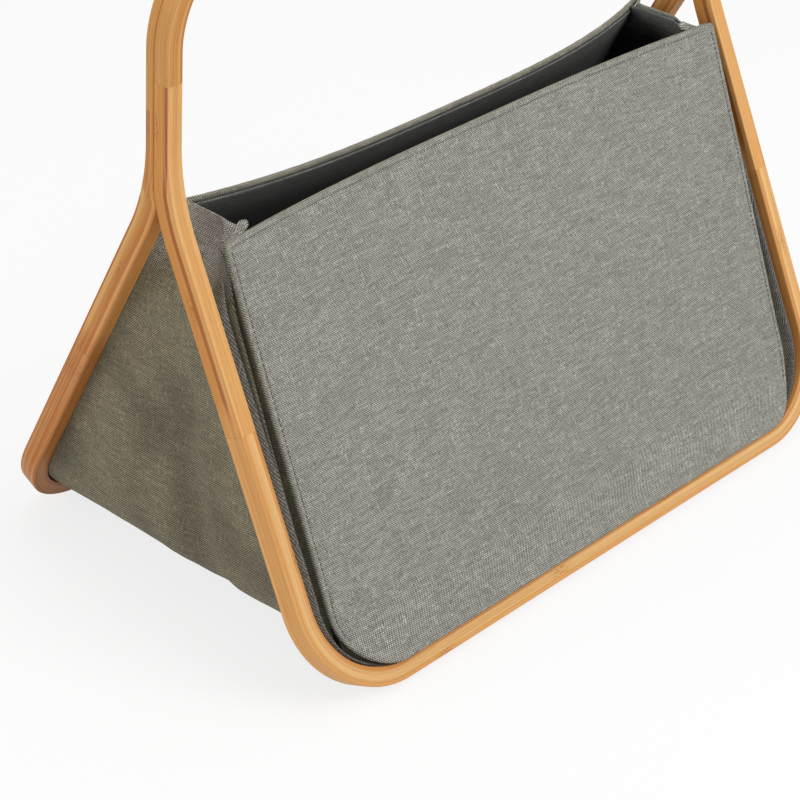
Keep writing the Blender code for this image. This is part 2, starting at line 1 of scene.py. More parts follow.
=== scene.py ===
"""Fabric storage basket, dressed: laminated bamboo bars, woven cloth walls and ends, and a dark lining.

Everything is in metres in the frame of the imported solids: +Z up, the origin on the floor under the middle,
X along the basket, and the photographed front at -Y.
"""
from math import acos, atan2, copysign, cos, hypot, pi, radians, sin, sqrt, tan

import bmesh
import bpy
from mathutils import Matrix, Vector, noise


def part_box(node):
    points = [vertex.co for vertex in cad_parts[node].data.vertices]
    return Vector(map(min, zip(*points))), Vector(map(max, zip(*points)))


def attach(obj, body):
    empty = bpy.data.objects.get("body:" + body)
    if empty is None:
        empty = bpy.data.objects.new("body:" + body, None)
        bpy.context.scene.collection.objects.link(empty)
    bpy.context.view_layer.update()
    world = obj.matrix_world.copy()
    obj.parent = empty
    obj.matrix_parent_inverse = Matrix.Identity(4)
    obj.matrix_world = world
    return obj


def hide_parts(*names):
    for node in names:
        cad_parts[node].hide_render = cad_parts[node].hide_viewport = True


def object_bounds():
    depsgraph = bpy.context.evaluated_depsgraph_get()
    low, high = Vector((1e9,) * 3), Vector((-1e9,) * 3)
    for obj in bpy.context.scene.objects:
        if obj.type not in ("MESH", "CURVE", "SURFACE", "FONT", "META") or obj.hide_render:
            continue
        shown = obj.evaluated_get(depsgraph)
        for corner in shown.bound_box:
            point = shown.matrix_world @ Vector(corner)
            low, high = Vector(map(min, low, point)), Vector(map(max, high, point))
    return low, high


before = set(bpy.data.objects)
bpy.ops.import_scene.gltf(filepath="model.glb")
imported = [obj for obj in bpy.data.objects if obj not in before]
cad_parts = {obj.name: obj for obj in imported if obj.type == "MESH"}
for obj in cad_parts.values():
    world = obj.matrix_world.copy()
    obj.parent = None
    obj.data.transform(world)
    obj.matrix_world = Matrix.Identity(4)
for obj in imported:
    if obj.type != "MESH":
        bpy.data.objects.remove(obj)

CAD_LOW, CAD_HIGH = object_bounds()

# Bars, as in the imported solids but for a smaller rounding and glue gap
LENGTH = CAD_HIGH.x - CAD_LOW.x
HEIGHT = CAD_HIGH.z
FOOT_SPREAD = 0.270
LEG_TILT = radians(26.2)
BAR_WIDTH = 0.0105
BAR_DEPTH = 0.0130
BAR_ROUNDING = 0.0009
CORNER_RADIUS = 0.061
FOOT_FLAT_CUT = 0.0015
NECK_RADIUS = 0.115
FRONT_STEM_DEPTH = 0.0100
BACK_STEM_DEPTH = 0.0060
LEG_JOINT_RISE = 0.160
FRONT_HANDLE_JOINT_SHARE = 0.686
BACK_HANDLE_JOINT_SHARE = 0.353
GLUE_GAP = 0.00008
SHARP_ANGLE = radians(50)

# How finely the bars are divided
BOW_CORNER_STEPS = 24
RUN_STEPS = 20
LOWER_LEG_STEPS = 6
UPPER_LEG_STEPS = 10
NECK_STEPS = 28
STEM_STEPS = 3

# Stiff walls
PANEL_SIDE_GAP = 0.0105
PANEL_SEAT_GAP = 0.0005
PANEL_FOOT_DEPTH = 0.0069
PANEL_TOP_HEIGHT = 0.2375
FRONT_TOP_REACH = 0.0285
BACK_TOP_REACH = 0.0295
FRONT_BOW = 0.0080
BACK_BOW = 0.0230
BOW_POWER = 3
PANEL_THICKNESS = 0.0036
PANEL_TOP_RADIUS = 0.0028
PANEL_EDGE_RADIUS = 0.0018
PANEL_TAPER = 0.0030
FOOT_SWELL = 0.0095
FOOT_SWELL_RISE = 0.034
FOOT_DROP = 0.0004
BOARD_THICKNESS = 0.0018
BOARD_INSET = 0.0014
BOARD_STEPS = 48
TOPSTITCH_INSET = 0.0036
WALL_SWELL = 0.0005
SMALL_SWELL = 0.00015
BASE_SWELL = 0.0003
SWELL_START = (0.002, 0.020)
DENT_DEPTH = 0.00034
DENT_HALF_WIDTH = 0.0014
PUCKER_DEPTH = 0.00012
PUCKER_PITCH = 0.0075
PUCKER_REACH = 0.007
EDGE_TINT_RANGE = (0.0002, 0.0016)
EDGE_TINT_SHARE = 0.55
BASE_TINT_SHARE = 0.5
LEAST_OFFSET = 0.0001
WELD_DISTANCE = 0.000001

# Cloth ends and lining
CLOTH_THICKNESS = 0.0008
CLOTH_BAR_GAP = 0.0003
STRIP_LAP = 0.0030
FOLD_START_HEIGHT = 0.196
HEM_LIFT = 0.0025
LINING_THICKNESS = 0.0005
LINING_GAP = 0.0010
LINING_HEM_DROP = 0.0014
LINING_WINDOW = 0.0030
FLOOR_CLEARANCE = 0.0003
# Depths below the hem over which the lining's painted shade comes in
LINING_PAINTED_SHADE_RANGE = (0.002, 0.030)

# Yarns and threads
YARN_PITCH = 0.00072
SLUB_LENGTH = 0.016
FLECK_LENGTH = 0.006
LINING_YARN_PITCH = 0.00075
STITCH_PITCH = 0.0030
STITCH_LENGTH = 0.0023
STITCH_RADIUS = 0.00028
STITCH_SINK = 0.0002
STITCH_START_SHARE = 0.55
YARN_HEIGHT = 0.00018
GRAIN_HEIGHT = 0.0001

# Camera at the photograph's place, for a picture of 800 by 800 pixels
PICTURE_SIZE = 800
CAMERA_PLACE = Vector((-0.98404, -0.81366, 0.84689))
CAMERA_YAW = radians(42.564)
CAMERA_PITCH = radians(29.665)
FOCAL_PIXELS = 2513.2
VIEW_CENTRE_PIXEL = (138.48, 279.91)
SENSOR_WIDTH = 36.0
CLIP_NEAR = 0.05
CLIP_FAR = 20.0

# Room, floor and lamps, each lamp as (name, place, size, power, colour)
WORLD_LEVEL = 0.42
FLOOR_SIZE = 8.0
FLOOR_GREY = 0.86
FLOOR_WHITE_SHARE = 0.8
LAMP_TARGET = Vector((0, 0, 0.15))
LAMPS = (("front_softbox", (0.35, -1.35, 1.75), 1.2, 25.0, (1.0, 0.99, 0.97)),
         ("side_softbox", (-1.7, 0.75, 0.9), 1.0, 9.5, (1.0, 0.97, 0.92)),
         ("top_softbox", (0.1, 0.2, 2.0), 1.4, 10.0, (0.97, 0.99, 1.0)))

# Sizes that follow from the ones above
STEM_DEPTH = FRONT_STEM_DEPTH + BACK_STEM_DEPTH
SEAM_Y = FRONT_STEM_DEPTH - STEM_DEPTH / 2
FOOT_HEIGHT = BAR_DEPTH * sin(LEG_TILT) - FOOT_FLAT_CUT
INNER_HALF_LENGTH = LENGTH / 2 - BAR_WIDTH
PANEL_HALF_LENGTH = INNER_HALF_LENGTH - PANEL_SIDE_GAP
PANEL_CORNER_RADIUS = CORNER_RADIUS - BAR_WIDTH - PANEL_SIDE_GAP
RAIL_HALF_LENGTH = LENGTH / 2 - CORNER_RADIUS

FRONT = -1
BACK = 1
SIDE_NAMES = {FRONT: "front", BACK: "back"}
END_NAMES = {-1: "left", 1: "right"}


# Frames of the leaning parts

def slope_frame(side, foot_y, foot_z, tilt):
    """Local X runs along the basket, local Y up the slope, local Z straight out of the basket."""
    turn = Matrix.Rotation(pi if side == BACK else 0, 4, "Z")
    return turn @ Matrix.Translation((0, -foot_y, foot_z)) @ Matrix.Rotation(pi / 2 - tilt, 4, "X")


def hoop_frame(side):
    """The plane of a hoop's outer face, from the lower edge of its rail."""
    return slope_frame(side, FOOT_SPREAD / 2, FOOT_HEIGHT, LEG_TILT)


def panel_shape(side):
    """Frame, height and bow of a stiff wall."""
    foot = hoop_frame(FRONT) @ Vector((0, BAR_WIDTH + PANEL_SEAT_GAP, -PANEL_FOOT_DEPTH))
    reach = FRONT_TOP_REACH if side == FRONT else BACK_TOP_REACH
    run = -foot.y - reach
    climb = PANEL_TOP_HEIGHT - foot.z
    return {"frame": slope_frame(side, -foot.y, foot.z, atan2(run, climb)),
            "lean": run / climb,
            "height": hypot(run, climb),
            "bow": FRONT_BOW if side == FRONT else BACK_BOW}


PANELS = {side: panel_shape(side) for side in (FRONT, BACK)}


def panel_point(side, x, rise, depth):
    """A point behind a wall's outer face, with its inward bow, which keeps each point's height."""
    panel = PANELS[side]
    across = 1 - abs(x / PANEL_HALF_LENGTH) ** BOW_POWER
    up = max(rise, 0) / panel["height"]
    bow = panel["bow"] * max(across, 0) * up ** 2
    return panel["frame"] @ Vector((-side * x, rise + bow * panel["lean"], -depth - bow))


def wall_point(side, x, rise, depth):
    """A point of a dressed wall, whose foot swells out over the rail."""
    low = 1 - smooth_share(rise, 0, FOOT_SWELL_RISE)
    swell = low * smooth_share(PANEL_HALF_LENGTH - abs(x), -FOOT_SWELL_RISE / 2, FOOT_SWELL_RISE)
    return panel_point(side, x, rise - FOOT_DROP * swell, depth - FOOT_SWELL * swell)


def smooth_share(value, start, end):
    """0 at start, 1 at end, with level ends."""
    share = min(max((value - start) / (end - start), 0), 1)
    return share * share * (3 - 2 * share)


def hump(value, centre, half_width):
    """1 at the centre, falling smoothly to 0 at the half width."""
    share = max(1 - abs(value - centre) / half_width, 0)
    return share * share * (3 - 2 * share)


def arc(centre, radius, start, end, steps):
    turns = [start + (end - start) * step / steps for step in range(steps + 1)]
    return [Vector((centre[0] + radius * cos(turn), centre[1] + radius * sin(turn))) for turn in turns]


def line(start, end, steps):
    """Points after start, up to end."""
    return [start.lerp(end, step / steps) for step in range(1, steps + 1)]


def part_way(first, second, start, end, place):
    return first + (second - first) * ((place - start) / (end - start))


def smooth_through(points, steps):
    """Points on a smooth curve through the given ones, without loops where they lie unevenly."""
    padded = [points[0] * 2 - points[1]] + points + [points[-1] * 2 - points[-2]]
    curve = [points[0].copy()]
    for four in zip(padded, padded[1:], padded[2:], padded[3:]):
        knots = [0.0]
        for first, second in zip(four, four[1:]):
            knots.append(knots[-1] + max(sqrt((second - first).length), 0.001))
        for step in range(1, steps + 1):
            place = knots[1] + (knots[2] - knots[1]) * step / steps
            near = [part_way(four[k], four[k + 1], knots[k], knots[k + 1], place) for k in range(3)]
            wide = [part_way(near[k], near[k + 1], knots[k], knots[k + 2], place) for k in range(2)]
            curve.append(part_way(wide[0], wide[1], knots[1], knots[2], place))
    return curve


def soft_noise(x, y, seed):
    return noise.noise(Vector((x, y, seed)))


# Materials

def srgb(red, green, blue):
    """Linear colour from the usual 0 to 255 values."""
    def linear(value):
        share = value / 255
        return share / 12.92 if share <= 0.04045 else ((share + 0.055) / 1.055) ** 2.4
    return (linear(red), linear(green), linear(blue), 1.0)


def add_node(tree, kind, *values, **settings):
    """A new node with its settings, and with its first inputs linked or set in order."""
    node = tree.nodes.new("ShaderNode" + kind)
    for setting, value in settings.items():
        setattr(node, setting, value)
    for value, socket in zip(values, node.inputs):
        put(tree, value, socket)
    return node


def put(tree, value, socket):
    """Links or sets a socket. None leaves it as it is."""
    if isinstance(value, bpy.types.NodeSocket):
        tree.links.new(value, socket)
    elif value is not None:
        socket.default_value = value


class Finish:
    """Short calls for building a material out of nodes."""

    def __init__(self, name, roughness):
        self.material = bpy.data.materials.new(name)
        self.material.use_nodes = True
        self.tree = self.material.node_tree
        self.shader = self.tree.nodes["Principled BSDF"]
        self.shader.inputs["Roughness"].default_value = roughness

    def set(self, **values):
        """Sets or links the shader's sockets, named with _ for a space."""
        for name, value in values.items():
            put(self.tree, value, self.shader.inputs[name.replace("_", " ")])

    def math(self, operation, *values):
        return add_node(self.tree, "Math", *values, operation=operation).outputs[0]

    def attribute(self, name, output="Fac"):
        return add_node(self.tree, "Attribute", attribute_name=name).outputs[output]

    def split(self, vector):
        return add_node(self.tree, "SeparateXYZ", vector).outputs

    def join(self, x, y, z=0.0):
        return add_node(self.tree, "CombineXYZ", x, y, z).outputs[0]

    def on_object(self, scale):
        """The place on the object, scaled."""
        where = add_node(self.tree, "TexCoord").outputs["Object"]
        node = add_node(self.tree, "Mapping", where)
        node.inputs["Scale"].default_value = scale
        return node.outputs[0]

    def noise(self, vector, detail=2.0, roughness=0.5):
        node = add_node(self.tree, "TexNoise", vector)
        node.inputs["Scale"].default_value = 1.0
        node.inputs["Detail"].default_value = detail
        node.inputs["Roughness"].default_value = roughness
        return node.outputs["Fac"]

    def random_share(self, vector):
        """One value from 0 to 1 for each whole-numbered place."""
        return add_node(self.tree, "TexWhiteNoise", vector).outputs["Value"]

    def ramp(self, value, stops, steps=False):
        node = add_node(self.tree, "ValToRGB", value)
        node.color_ramp.interpolation = "CONSTANT" if steps else "LINEAR"
        while len(node.color_ramp.elements) < len(stops):
            node.color_ramp.elements.new(1.0)
        for element, (place, colour) in zip(node.color_ramp.elements, stops):
            element.position = place
            element.color = colour
        return node.outputs[0]

    def mix(self, share, first, second, blend="MIX"):
        node = add_node(self.tree, "Mix", share, data_type="RGBA", blend_type=blend, clamp_result=True)
        put(self.tree, first, node.inputs[6])
        put(self.tree, second, node.inputs[7])
        return node.outputs[2]

    def stretch(self, value, low, high, to_low, to_high):
        return add_node(self.tree, "MapRange", value, low, high, to_low, to_high).outputs[0]

    def bump(self, height, distance, strength):
        node = add_node(self.tree, "Bump")
        node.inputs["Distance"].default_value = distance
        node.inputs["Strength"].default_value = strength
        put(self.tree, height, node.inputs["Height"])
        self.set(Normal=node.outputs[0])


def grey(value):
    return (value, value, value, 1.0)


PALE_STRIP = srgb(240, 204, 150)
DARK_STRIP = srgb(170, 102, 50)
PALE_FIBRE = srgb(246, 214, 164)
DARK_FIBRE = srgb(186, 120, 64)
DASH = srgb(158, 98, 50)
BLOTCH = srgb(166, 98, 46)
BEECH_STOPS = ((0.3, srgb(196, 158, 112)), (0.7, srgb(222, 190, 148)))
BOARD_STOPS = ((0.35, srgb(138, 130, 116)), (0.65, srgb(176, 168, 152)))
THREAD = srgb(104, 104, 99)

# Yarns as (dark, light, slub), the shade between them, and the olive tint and painted shade that darken the
# cloth
CLOTH_WARP = (srgb(84, 82, 73), srgb(114, 112, 101), srgb(186, 182, 164))
CLOTH_WEFT = (srgb(180, 180, 172), srgb(216, 215, 207), srgb(240, 239, 231))
CLOTH_GAP = srgb(46, 46, 41)
# On the cloth ends the olive tint is painted shade
CLOTH_TINT = srgb(223, 214, 189)
CLOTH_PAINTED_SHADE = srgb(168, 165, 173)
# Lining yarns paler than its own charcoal, as painted light by the hem; its painted shade darkens them lower
# down
LINING_WARP = (srgb(50, 50, 48), srgb(74, 75, 72), srgb(104, 105, 102))
LINING_WEFT = (srgb(156, 158, 155), srgb(190, 192, 188), srgb(214, 216, 212))
LINING_YARN_GAP = srgb(14, 14, 13)
LINING_PAINTED_SHADE = srgb(80, 77, 73)

# Strips of bamboo from a bar's outer face to its inner face, as (share of the depth where it starts, colour)
FRONT_BOW_STRIPS = ((0.0, srgb(219, 160, 92)), (0.30, srgb(226, 180, 118)), (0.75, srgb(202, 137, 70)))
# The back bow's strips are darker and more orange than the front's, partly its own bamboo and partly painted
# shade
BACK_BOW_STRIPS = ((0.0, srgb(180, 108, 46)), (0.36, srgb(188, 120, 54)), (0.72, srgb(172, 100, 42)))
FRONT_UPRIGHT_STRIPS = ((0.0, srgb(221, 166, 100)), (0.22, srgb(166, 92, 38)), (0.44, srgb(210, 146, 74)),
                        (0.74, srgb(206, 140, 68)))
# The back uprights' strips are darker too, partly their own bamboo and partly painted shade
BACK_UPRIGHT_STRIPS = ((0.0, srgb(182, 104, 48)), (0.12, srgb(212, 160, 90)), (0.38, srgb(198, 140, 74)),
                       (0.55, srgb(190, 120, 58)), (0.78, srgb(202, 138, 70)))
HANDLE_STRIPS = ((0.0, srgb(206, 148, 82)), (0.30, srgb(198, 138, 72)), (0.62, srgb(214, 160, 94)),
                 (0.80, srgb(192, 126, 64)))
STRIP_BLEND_SHARE = 0.022

# Where the culm's nodes fall: distance from a bow's left joint, and the grain's phase at a bar's start
BOW_NODE_PLACES = {FRONT: 0.215, BACK: 0.006}
UPRIGHT_START_SHARE = 0.13
HANDLE_START_SHARES = {FRONT: 0.62, BACK: 0.90}
JOINT_FADE = 0.022
JOINT_SHARE = 0.85
NODE_PITCH = 0.34
NODE_HALF_SHARE = 0.032


def bamboo_finish(name, strips, joint_colour):
    """Laminated bamboo whose strips fade to one colour at the joint.

    The grain attribute is (along, across the strips, along the strips' width) in metres.
    """
    finish = Finish(name, 0.46)
    along, across, wide = finish.split(finish.attribute("grain", "Vector"))
    stack = finish.attribute("stack")
    stops = [strips[0]]
    ids = [(0.0, grey(0.0))]
    for number, (share, colour) in enumerate(strips[1:], 1):
        stops += [(share - STRIP_BLEND_SHARE, stops[-1][1]), (share + STRIP_BLEND_SHARE, colour)]
        ids.append((share, grey(number / 10)))
    tone = finish.mix(finish.attribute("plain"), finish.ramp(stack, stops), joint_colour)
    shift = finish.math("MULTIPLY", finish.ramp(stack, ids, steps=True), 7.13)

    def streaks(lengthwise, crosswise, detail):
        place = finish.join(finish.math("MULTIPLY_ADD", along, lengthwise, shift),
                            finish.math("MULTIPLY", across, crosswise),
                            finish.math("MULTIPLY", wide, crosswise))
        return finish.noise(place, detail, 0.55)

    bands = streaks(3.0, 330.0, 2.0)
    fibres = streaks(9.0, 1500.0, 3.0)
    dashes = streaks(110.0, 4200.0, 1.0)
    speckle = streaks(500.0, 1100.0, 2.0)
    turn = finish.math("FRACT", finish.math("MULTIPLY_ADD", along, 1 / NODE_PITCH, shift))
    off_node = finish.math("ABSOLUTE", finish.math("SUBTRACT", turn, 0.5))
    node_band = finish.stretch(off_node, 0.0, NODE_HALF_SHARE, 1.0, 0.0)
    for grain, low, high, at_low, at_high, colour in ((bands, 0.42, 0.68, 0.0, 0.24, DARK_STRIP),
                                                      (bands, 0.32, 0.50, 0.26, 0.0, PALE_STRIP),
                                                      (fibres, 0.48, 0.70, 0.0, 0.26, DARK_FIBRE),
                                                      (fibres, 0.30, 0.48, 0.24, 0.0, PALE_FIBRE),
                                                      (dashes, 0.60, 0.75, 0.0, 0.30, DASH)):
        tone = finish.mix(finish.stretch(grain, low, high, at_low, at_high), tone, colour)
    blotch = finish.math("MULTIPLY", node_band, finish.stretch(speckle, 0.46, 0.60, 0.0, 0.8))
    finish.set(Base_Color=finish.mix(blotch, tone, BLOTCH), Specular_IOR_Level=0.18,
               Roughness=finish.stretch(fibres, 0.3, 0.7, 0.42, 0.56))
    finish.bump(finish.math("ADD", fibres, finish.math("MULTIPLY", dashes, -0.6)), GRAIN_HEIGHT, 0.3)
    return finish.material


def woven_finish(name, warp, weft, gap, tint, shade, pitch):
    """Cloth woven from slubby yarns. The weave attribute is the place on the flat cloth in metres.

    warp and weft each give a yarn's dark, light and slub colours, and gap is the shade between the yarns.
    tint and shade darken the cloth by attributes of the same names, as painted shade on the ends and the
    lining.
    """
    finish = Finish(name, 0.93)
    across, up, _ = finish.split(finish.attribute("weave", "Vector"))
    u = finish.math("MULTIPLY", across, 1 / pitch)
    v = finish.math("MULTIPLY", up, 1 / pitch)
    column = finish.math("FLOOR", u)
    row = finish.math("FLOOR", v)

    def yarn(number, lengthwise, colours, seed):
        lane = finish.math("MULTIPLY_ADD", number, 7.31, seed)
        slow = finish.noise(finish.join(lane, finish.math("MULTIPLY", lengthwise, 1 / SLUB_LENGTH)), 2.0)
        flecks = finish.math("MULTIPLY", lengthwise, 1 / FLECK_LENGTH)
        quick = finish.noise(finish.join(lane, flecks, 4.7), 1.0)
        colour = finish.mix(finish.stretch(slow, 0.38, 0.62, 0.0, 1.0), colours[0], colours[1])
        whole = finish.random_share(finish.join(lane, seed))
        colour = finish.mix(finish.math("MULTIPLY", whole, 0.24), colour, colours[0])
        colour = finish.mix(finish.stretch(quick, 0.38, 0.28, 0.0, 0.5), colour, colours[0])
        return finish.mix(finish.stretch(quick, 0.62, 0.72, 0.0, 0.8), colour, colours[2]), slow

    warp_colour, warp_swell = yarn(column, up, warp, 0.0)
    weft_colour, weft_swell = yarn(row, across, weft, 91.7)
    turn = finish.math("FLOORED_MODULO", finish.math("ADD", column, row), 2.0)
    colour = finish.mix(finish.math("COMPARE", turn, 0.0, 0.1), warp_colour, weft_colour)
    side, top = (finish.math("SINE", finish.math("MULTIPLY", finish.math("FRACT", place), pi))
                 for place in (u, v))
    round_yarn = finish.math("MULTIPLY", side, top)
    crossing = finish.random_share(finish.join(column, row))
    spread = [finish.math("MULTIPLY", place, 26.0) for place in (across, up)]
    cloud = finish.noise(finish.join(*spread), 3.0)
    for dark, low, high, at_low, at_high in ((crossing, 0.0, 0.30, 0.35, 0.0),
                                             (round_yarn, 0.0, 0.50, 0.60, 0.0),
                                             (cloud, 0.35, 0.65, 0.0, 0.05)):
        colour = finish.mix(finish.stretch(dark, low, high, at_low, at_high), colour, gap)
    # Olive tint, which is painted shade on the cloth ends
    colour = finish.mix(finish.attribute("tint"), colour, tint, "MULTIPLY")
    # Painted shade, on the cloth ends and the lining
    colour = finish.mix(finish.attribute("shade"), colour, shade, "MULTIPLY")
    finish.set(Base_Color=colour, Sheen_Weight=0.08, Sheen_Roughness=0.5, Specular_IOR_Level=0.2)
    swell = finish.math("MULTIPLY", finish.math("ADD", warp_swell, weft_swell), 0.5)
    finish.bump(finish.math("ADD", round_yarn, swell), YARN_HEIGHT, 0.4)
    return finish.material


def thread_finish(name, colour):
    """Twisted sewing thread."""
    finish = Finish(name, 0.8)
    twist = add_node(finish.tree, "TexWave", add_node(finish.tree, "TexCoord").outputs["Object"])
    twist.inputs["Scale"].default_value = 900.0
    # Painted shade in the grooves of the twist
    finish.set(Base_Color=finish.mix(finish.math("MULTIPLY", twist.outputs["Fac"], 0.35), colour, grey(0.05)))
    finish.bump(twist.outputs["Fac"], GRAIN_HEIGHT, 0.4)
    return finish.material


def fleck_finish(name, roughness, scale, detail, detail_roughness, stops):
    """Board with short fibres, or wood with its grain along the leg, by the scale of the flecks."""
    finish = Finish(name, roughness)
    flecks = finish.noise(finish.on_object(scale), detail, detail_roughness)
    finish.set(Base_Color=finish.ramp(flecks, stops))
    finish.bump(flecks, GRAIN_HEIGHT, 0.3)
    return finish.material


def board_finish():
    """Grey board with short fibres, inside the sleeves."""
    return fleck_finish("grey_board_fibres", 0.88, (420.0, 420.0, 420.0), 3.0, 0.6, BOARD_STOPS)


def beech_finish():
    """Pale turned wood of the dowels, with its grain along the leg."""
    return fleck_finish("beech_grain", 0.6, (1600.0, 600.0, 60.0), 2.0, 0.5, BEECH_STOPS)


# Pieces

def skin(shape, grid, closed=False):
    """Faces between neighbouring rows of vertices."""
    for lower, upper in zip(grid, grid[1:]):
        for index in range(len(lower) if closed else len(lower) - 1):
            after = (index + 1) % len(lower)
            shape.faces.new((lower[index], lower[after], upper[after], upper[index]))


def take_mesh(shape, name, turn_out=True, smooth=True):
    """The mesh of a finished bmesh, with its faces turned outward."""
    if turn_out:
        bmesh.ops.recalc_face_normals(shape, faces=shape.faces)
    mesh = bpy.data.meshes.new(name)
    shape.to_mesh(mesh)
    shape.free()
    if smooth:
        mesh.shade_smooth()
    return mesh


def add_piece(name, mesh, material, slot_name, *nodes):
    piece = bpy.data.objects.new(name, mesh)
    bpy.context.scene.collection.objects.link(piece)
    dress(piece, material)
    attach(piece, "root")
    if nodes:
        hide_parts(*nodes)
    return piece


def dress(piece, material):
    piece.data.materials.clear()
    piece.data.materials.append(material)


def thicken(piece, thickness):
    shell = piece.modifiers.new("Cloth thickness", "SOLIDIFY")
    shell.thickness = thickness
    shell.offset = 0
    shell.use_even_offset = False


# Bamboo bars

def section_ring(depth, width):
    """Rounded rectangle as (distance from the outer face, offset along the bar's width)."""
    ring = []
    for corner in range(4):
        centre_across = depth - BAR_ROUNDING if corner in (2, 3) else BAR_ROUNDING
        centre_wide = (width / 2 - BAR_ROUNDING) * (1 if corner in (1, 2) else -1)
        start = -pi / 2 - corner * pi / 2
        ring += [tuple(point) for point in arc((centre_across, centre_wide), BAR_ROUNDING,
                                               start, start - pi / 2, 4)]
    return ring


def strip_share(across, depth, full_depth):
    """Place in the stack of strips, from the inner face where a bar is planed thinner on its outer face."""
    if across < BAR_ROUNDING / 4:
        return 0
    return min(max(1 - (depth - across) / max(full_depth, depth), 0), 1)


def bar_mesh(name, stations, place, width, start, full_depth):
    """Lofts a bar through pairs of (outer point, inner point).

    place turns a flat point and an offset into space.
    """
    shape = bmesh.new()
    grain = shape.verts.layers.float_vector.new("grain")
    stack = shape.verts.layers.float.new("stack")
    plain = shape.verts.layers.float.new("plain")
    rings = []
    along = start
    previous = None
    for outer, inner in stations:
        middle = (outer + inner) / 2
        along += (middle - previous).length if previous is not None else 0
        previous = middle
        depth = (inner - outer).length
        faded = 1 - smooth_share(along - start, JOINT_FADE / 4, JOINT_FADE) if full_depth else 0
        ring = []
        for across, wide in section_ring(depth, width):
            vertex = shape.verts.new(place(outer.lerp(inner, across / depth), wide))
            vertex[grain] = Vector((along, across, wide))
            vertex[stack] = strip_share(across, depth, full_depth)
            vertex[plain] = JOINT_SHARE * faded
            ring.append(vertex)
        rings.append(ring)
    skin(shape, rings, closed=True)
    shape.faces.new(rings[0])
    shape.faces.new(reversed(rings[-1]))
    for vertex in shape.verts:
        vertex.co.z = max(vertex.co.z, 0)
    mesh = take_mesh(shape, name)
    mesh.set_sharp_from_angle(angle=SHARP_ANGLE)
    return mesh


def add_bar(node, finish, stations, place, width, start, full_depth=0):
    """A bamboo bar in place of its solid, whose flat faces stay flat beside the rounded edges."""
    mesh = bar_mesh("bamboo_" + node, stations, place, width, start, full_depth)
    piece = add_piece(mesh.name, mesh, finish, "bamboo", node)
    weighted = piece.modifiers.new("Face weighted normals", "WEIGHTED_NORMAL")
    weighted.keep_sharp = True


def bends(centre, outer_radius, inner_radius, start, end, steps):
    return list(zip(arc(centre, outer_radius, start, end, steps),
                    arc(centre, inner_radius, start, end, steps)))


def straight(first, last, steps):
    """Pairs between two pairs, the first one left out."""
    return list(zip(line(first[0], last[0], steps), line(first[1], last[1], steps)))


def bow_stations(end_rise, centre_rise, run_turn, leg_steps):
    """Pairs round a bow: a leg, a corner, the long run, a corner and a leg.

    run_turn is the direction from the corners' centres to the long run.
    """
    inner_radius = CORNER_RADIUS - BAR_WIDTH
    stations = [(Vector((-LENGTH / 2, end_rise)), Vector((-INNER_HALF_LENGTH, end_rise)))]
    for centre_x, start, end, steps in ((-RAIL_HALF_LENGTH, pi, run_turn, leg_steps),
                                        (RAIL_HALF_LENGTH, run_turn, 2 * run_turn - pi, RUN_STEPS)):
        corner = bends((centre_x, centre_rise), CORNER_RADIUS, inner_radius, start, end, BOW_CORNER_STEPS)
        stations += straight(stations[-1], corner[0], steps) + corner[1:]
    last = (Vector((LENGTH / 2, end_rise)), Vector((INNER_HALF_LENGTH, end_rise)))
    return stations + straight(stations[-1], last, leg_steps)


def neck_centre():
    """Centre of the neck's bend for the front hoop, as (y, z)."""
    centre_y = -STEM_DEPTH / 2 - NECK_RADIUS
    run = centre_y + NECK_RADIUS * cos(LEG_TILT) + FOOT_SPREAD / 2
    return centre_y, FOOT_HEIGHT + run / tan(LEG_TILT) + NECK_RADIUS * sin(LEG_TILT)


def handle_joint_height(side):
    share = FRONT_HANDLE_JOINT_SHARE if side == FRONT else BACK_HANDLE_JOINT_SHARE
    stem_foot = neck_centre()[1]
    return stem_foot + (HEIGHT - CORNER_RADIUS - stem_foot) * share


def upright_stations(side):
    """Pairs (y, z) up a bent upright: leaning leg, neck, and the stem that is glued to its partner.

    The front upright bends on to the seam. The back upright stops at the crotch and then follows the seam.
    """
    centre = Vector(neck_centre())
    inner_radius = NECK_RADIUS + BAR_DEPTH
    top = handle_joint_height(side) - GLUE_GAP / 2
    start_outer = hoop_frame(FRONT) @ Vector((0, LEG_JOINT_RISE + GLUE_GAP / 2, 0))
    start_inner = hoop_frame(FRONT) @ Vector((0, LEG_JOINT_RISE + GLUE_GAP / 2, -BAR_DEPTH))
    crotch = -acos((-GLUE_GAP / 2 - centre.x) / inner_radius)
    seam = -acos((SEAM_Y - centre.x) / inner_radius)
    stations = [(start_outer.yz, start_inner.yz)]
    for step in range(NECK_STEPS + 1):
        turn = -LEG_TILT * (1 - step / NECK_STEPS)
        direction = Vector((cos(turn), sin(turn)))
        inner = centre + direction * inner_radius
        if side == FRONT and turn > seam:
            inner = centre + direction * ((SEAM_Y - centre.x) / cos(turn))
        if side == BACK and turn > crotch:
            inner = centre + direction * ((back_seam_reach(inner, centre) - centre.x) / cos(turn))
        pair = (centre + direction * NECK_RADIUS, inner)
        stations += straight(stations[-1], pair, UPPER_LEG_STEPS) if step == 0 else [pair]
    end = (Vector((-STEM_DEPTH / 2, top)), Vector((stations[-1][1].x, top)))
    stations += straight(stations[-1], end, STEM_STEPS)
    if side == BACK:
        stations = [(Vector((-outer.x, outer.y)), Vector((-inner.x, inner.y))) for outer, inner in stations]
    return stations


def back_seam_reach(inner, centre):
    """How far the back upright, mirrored to the front, reaches at a height of the seam."""
    inner_radius = NECK_RADIUS + BAR_DEPTH
    lift = max(centre.y - inner.y, 0)
    front_face = min(centre.x + sqrt(inner_radius ** 2 - lift ** 2), SEAM_Y)
    return -front_face - GLUE_GAP


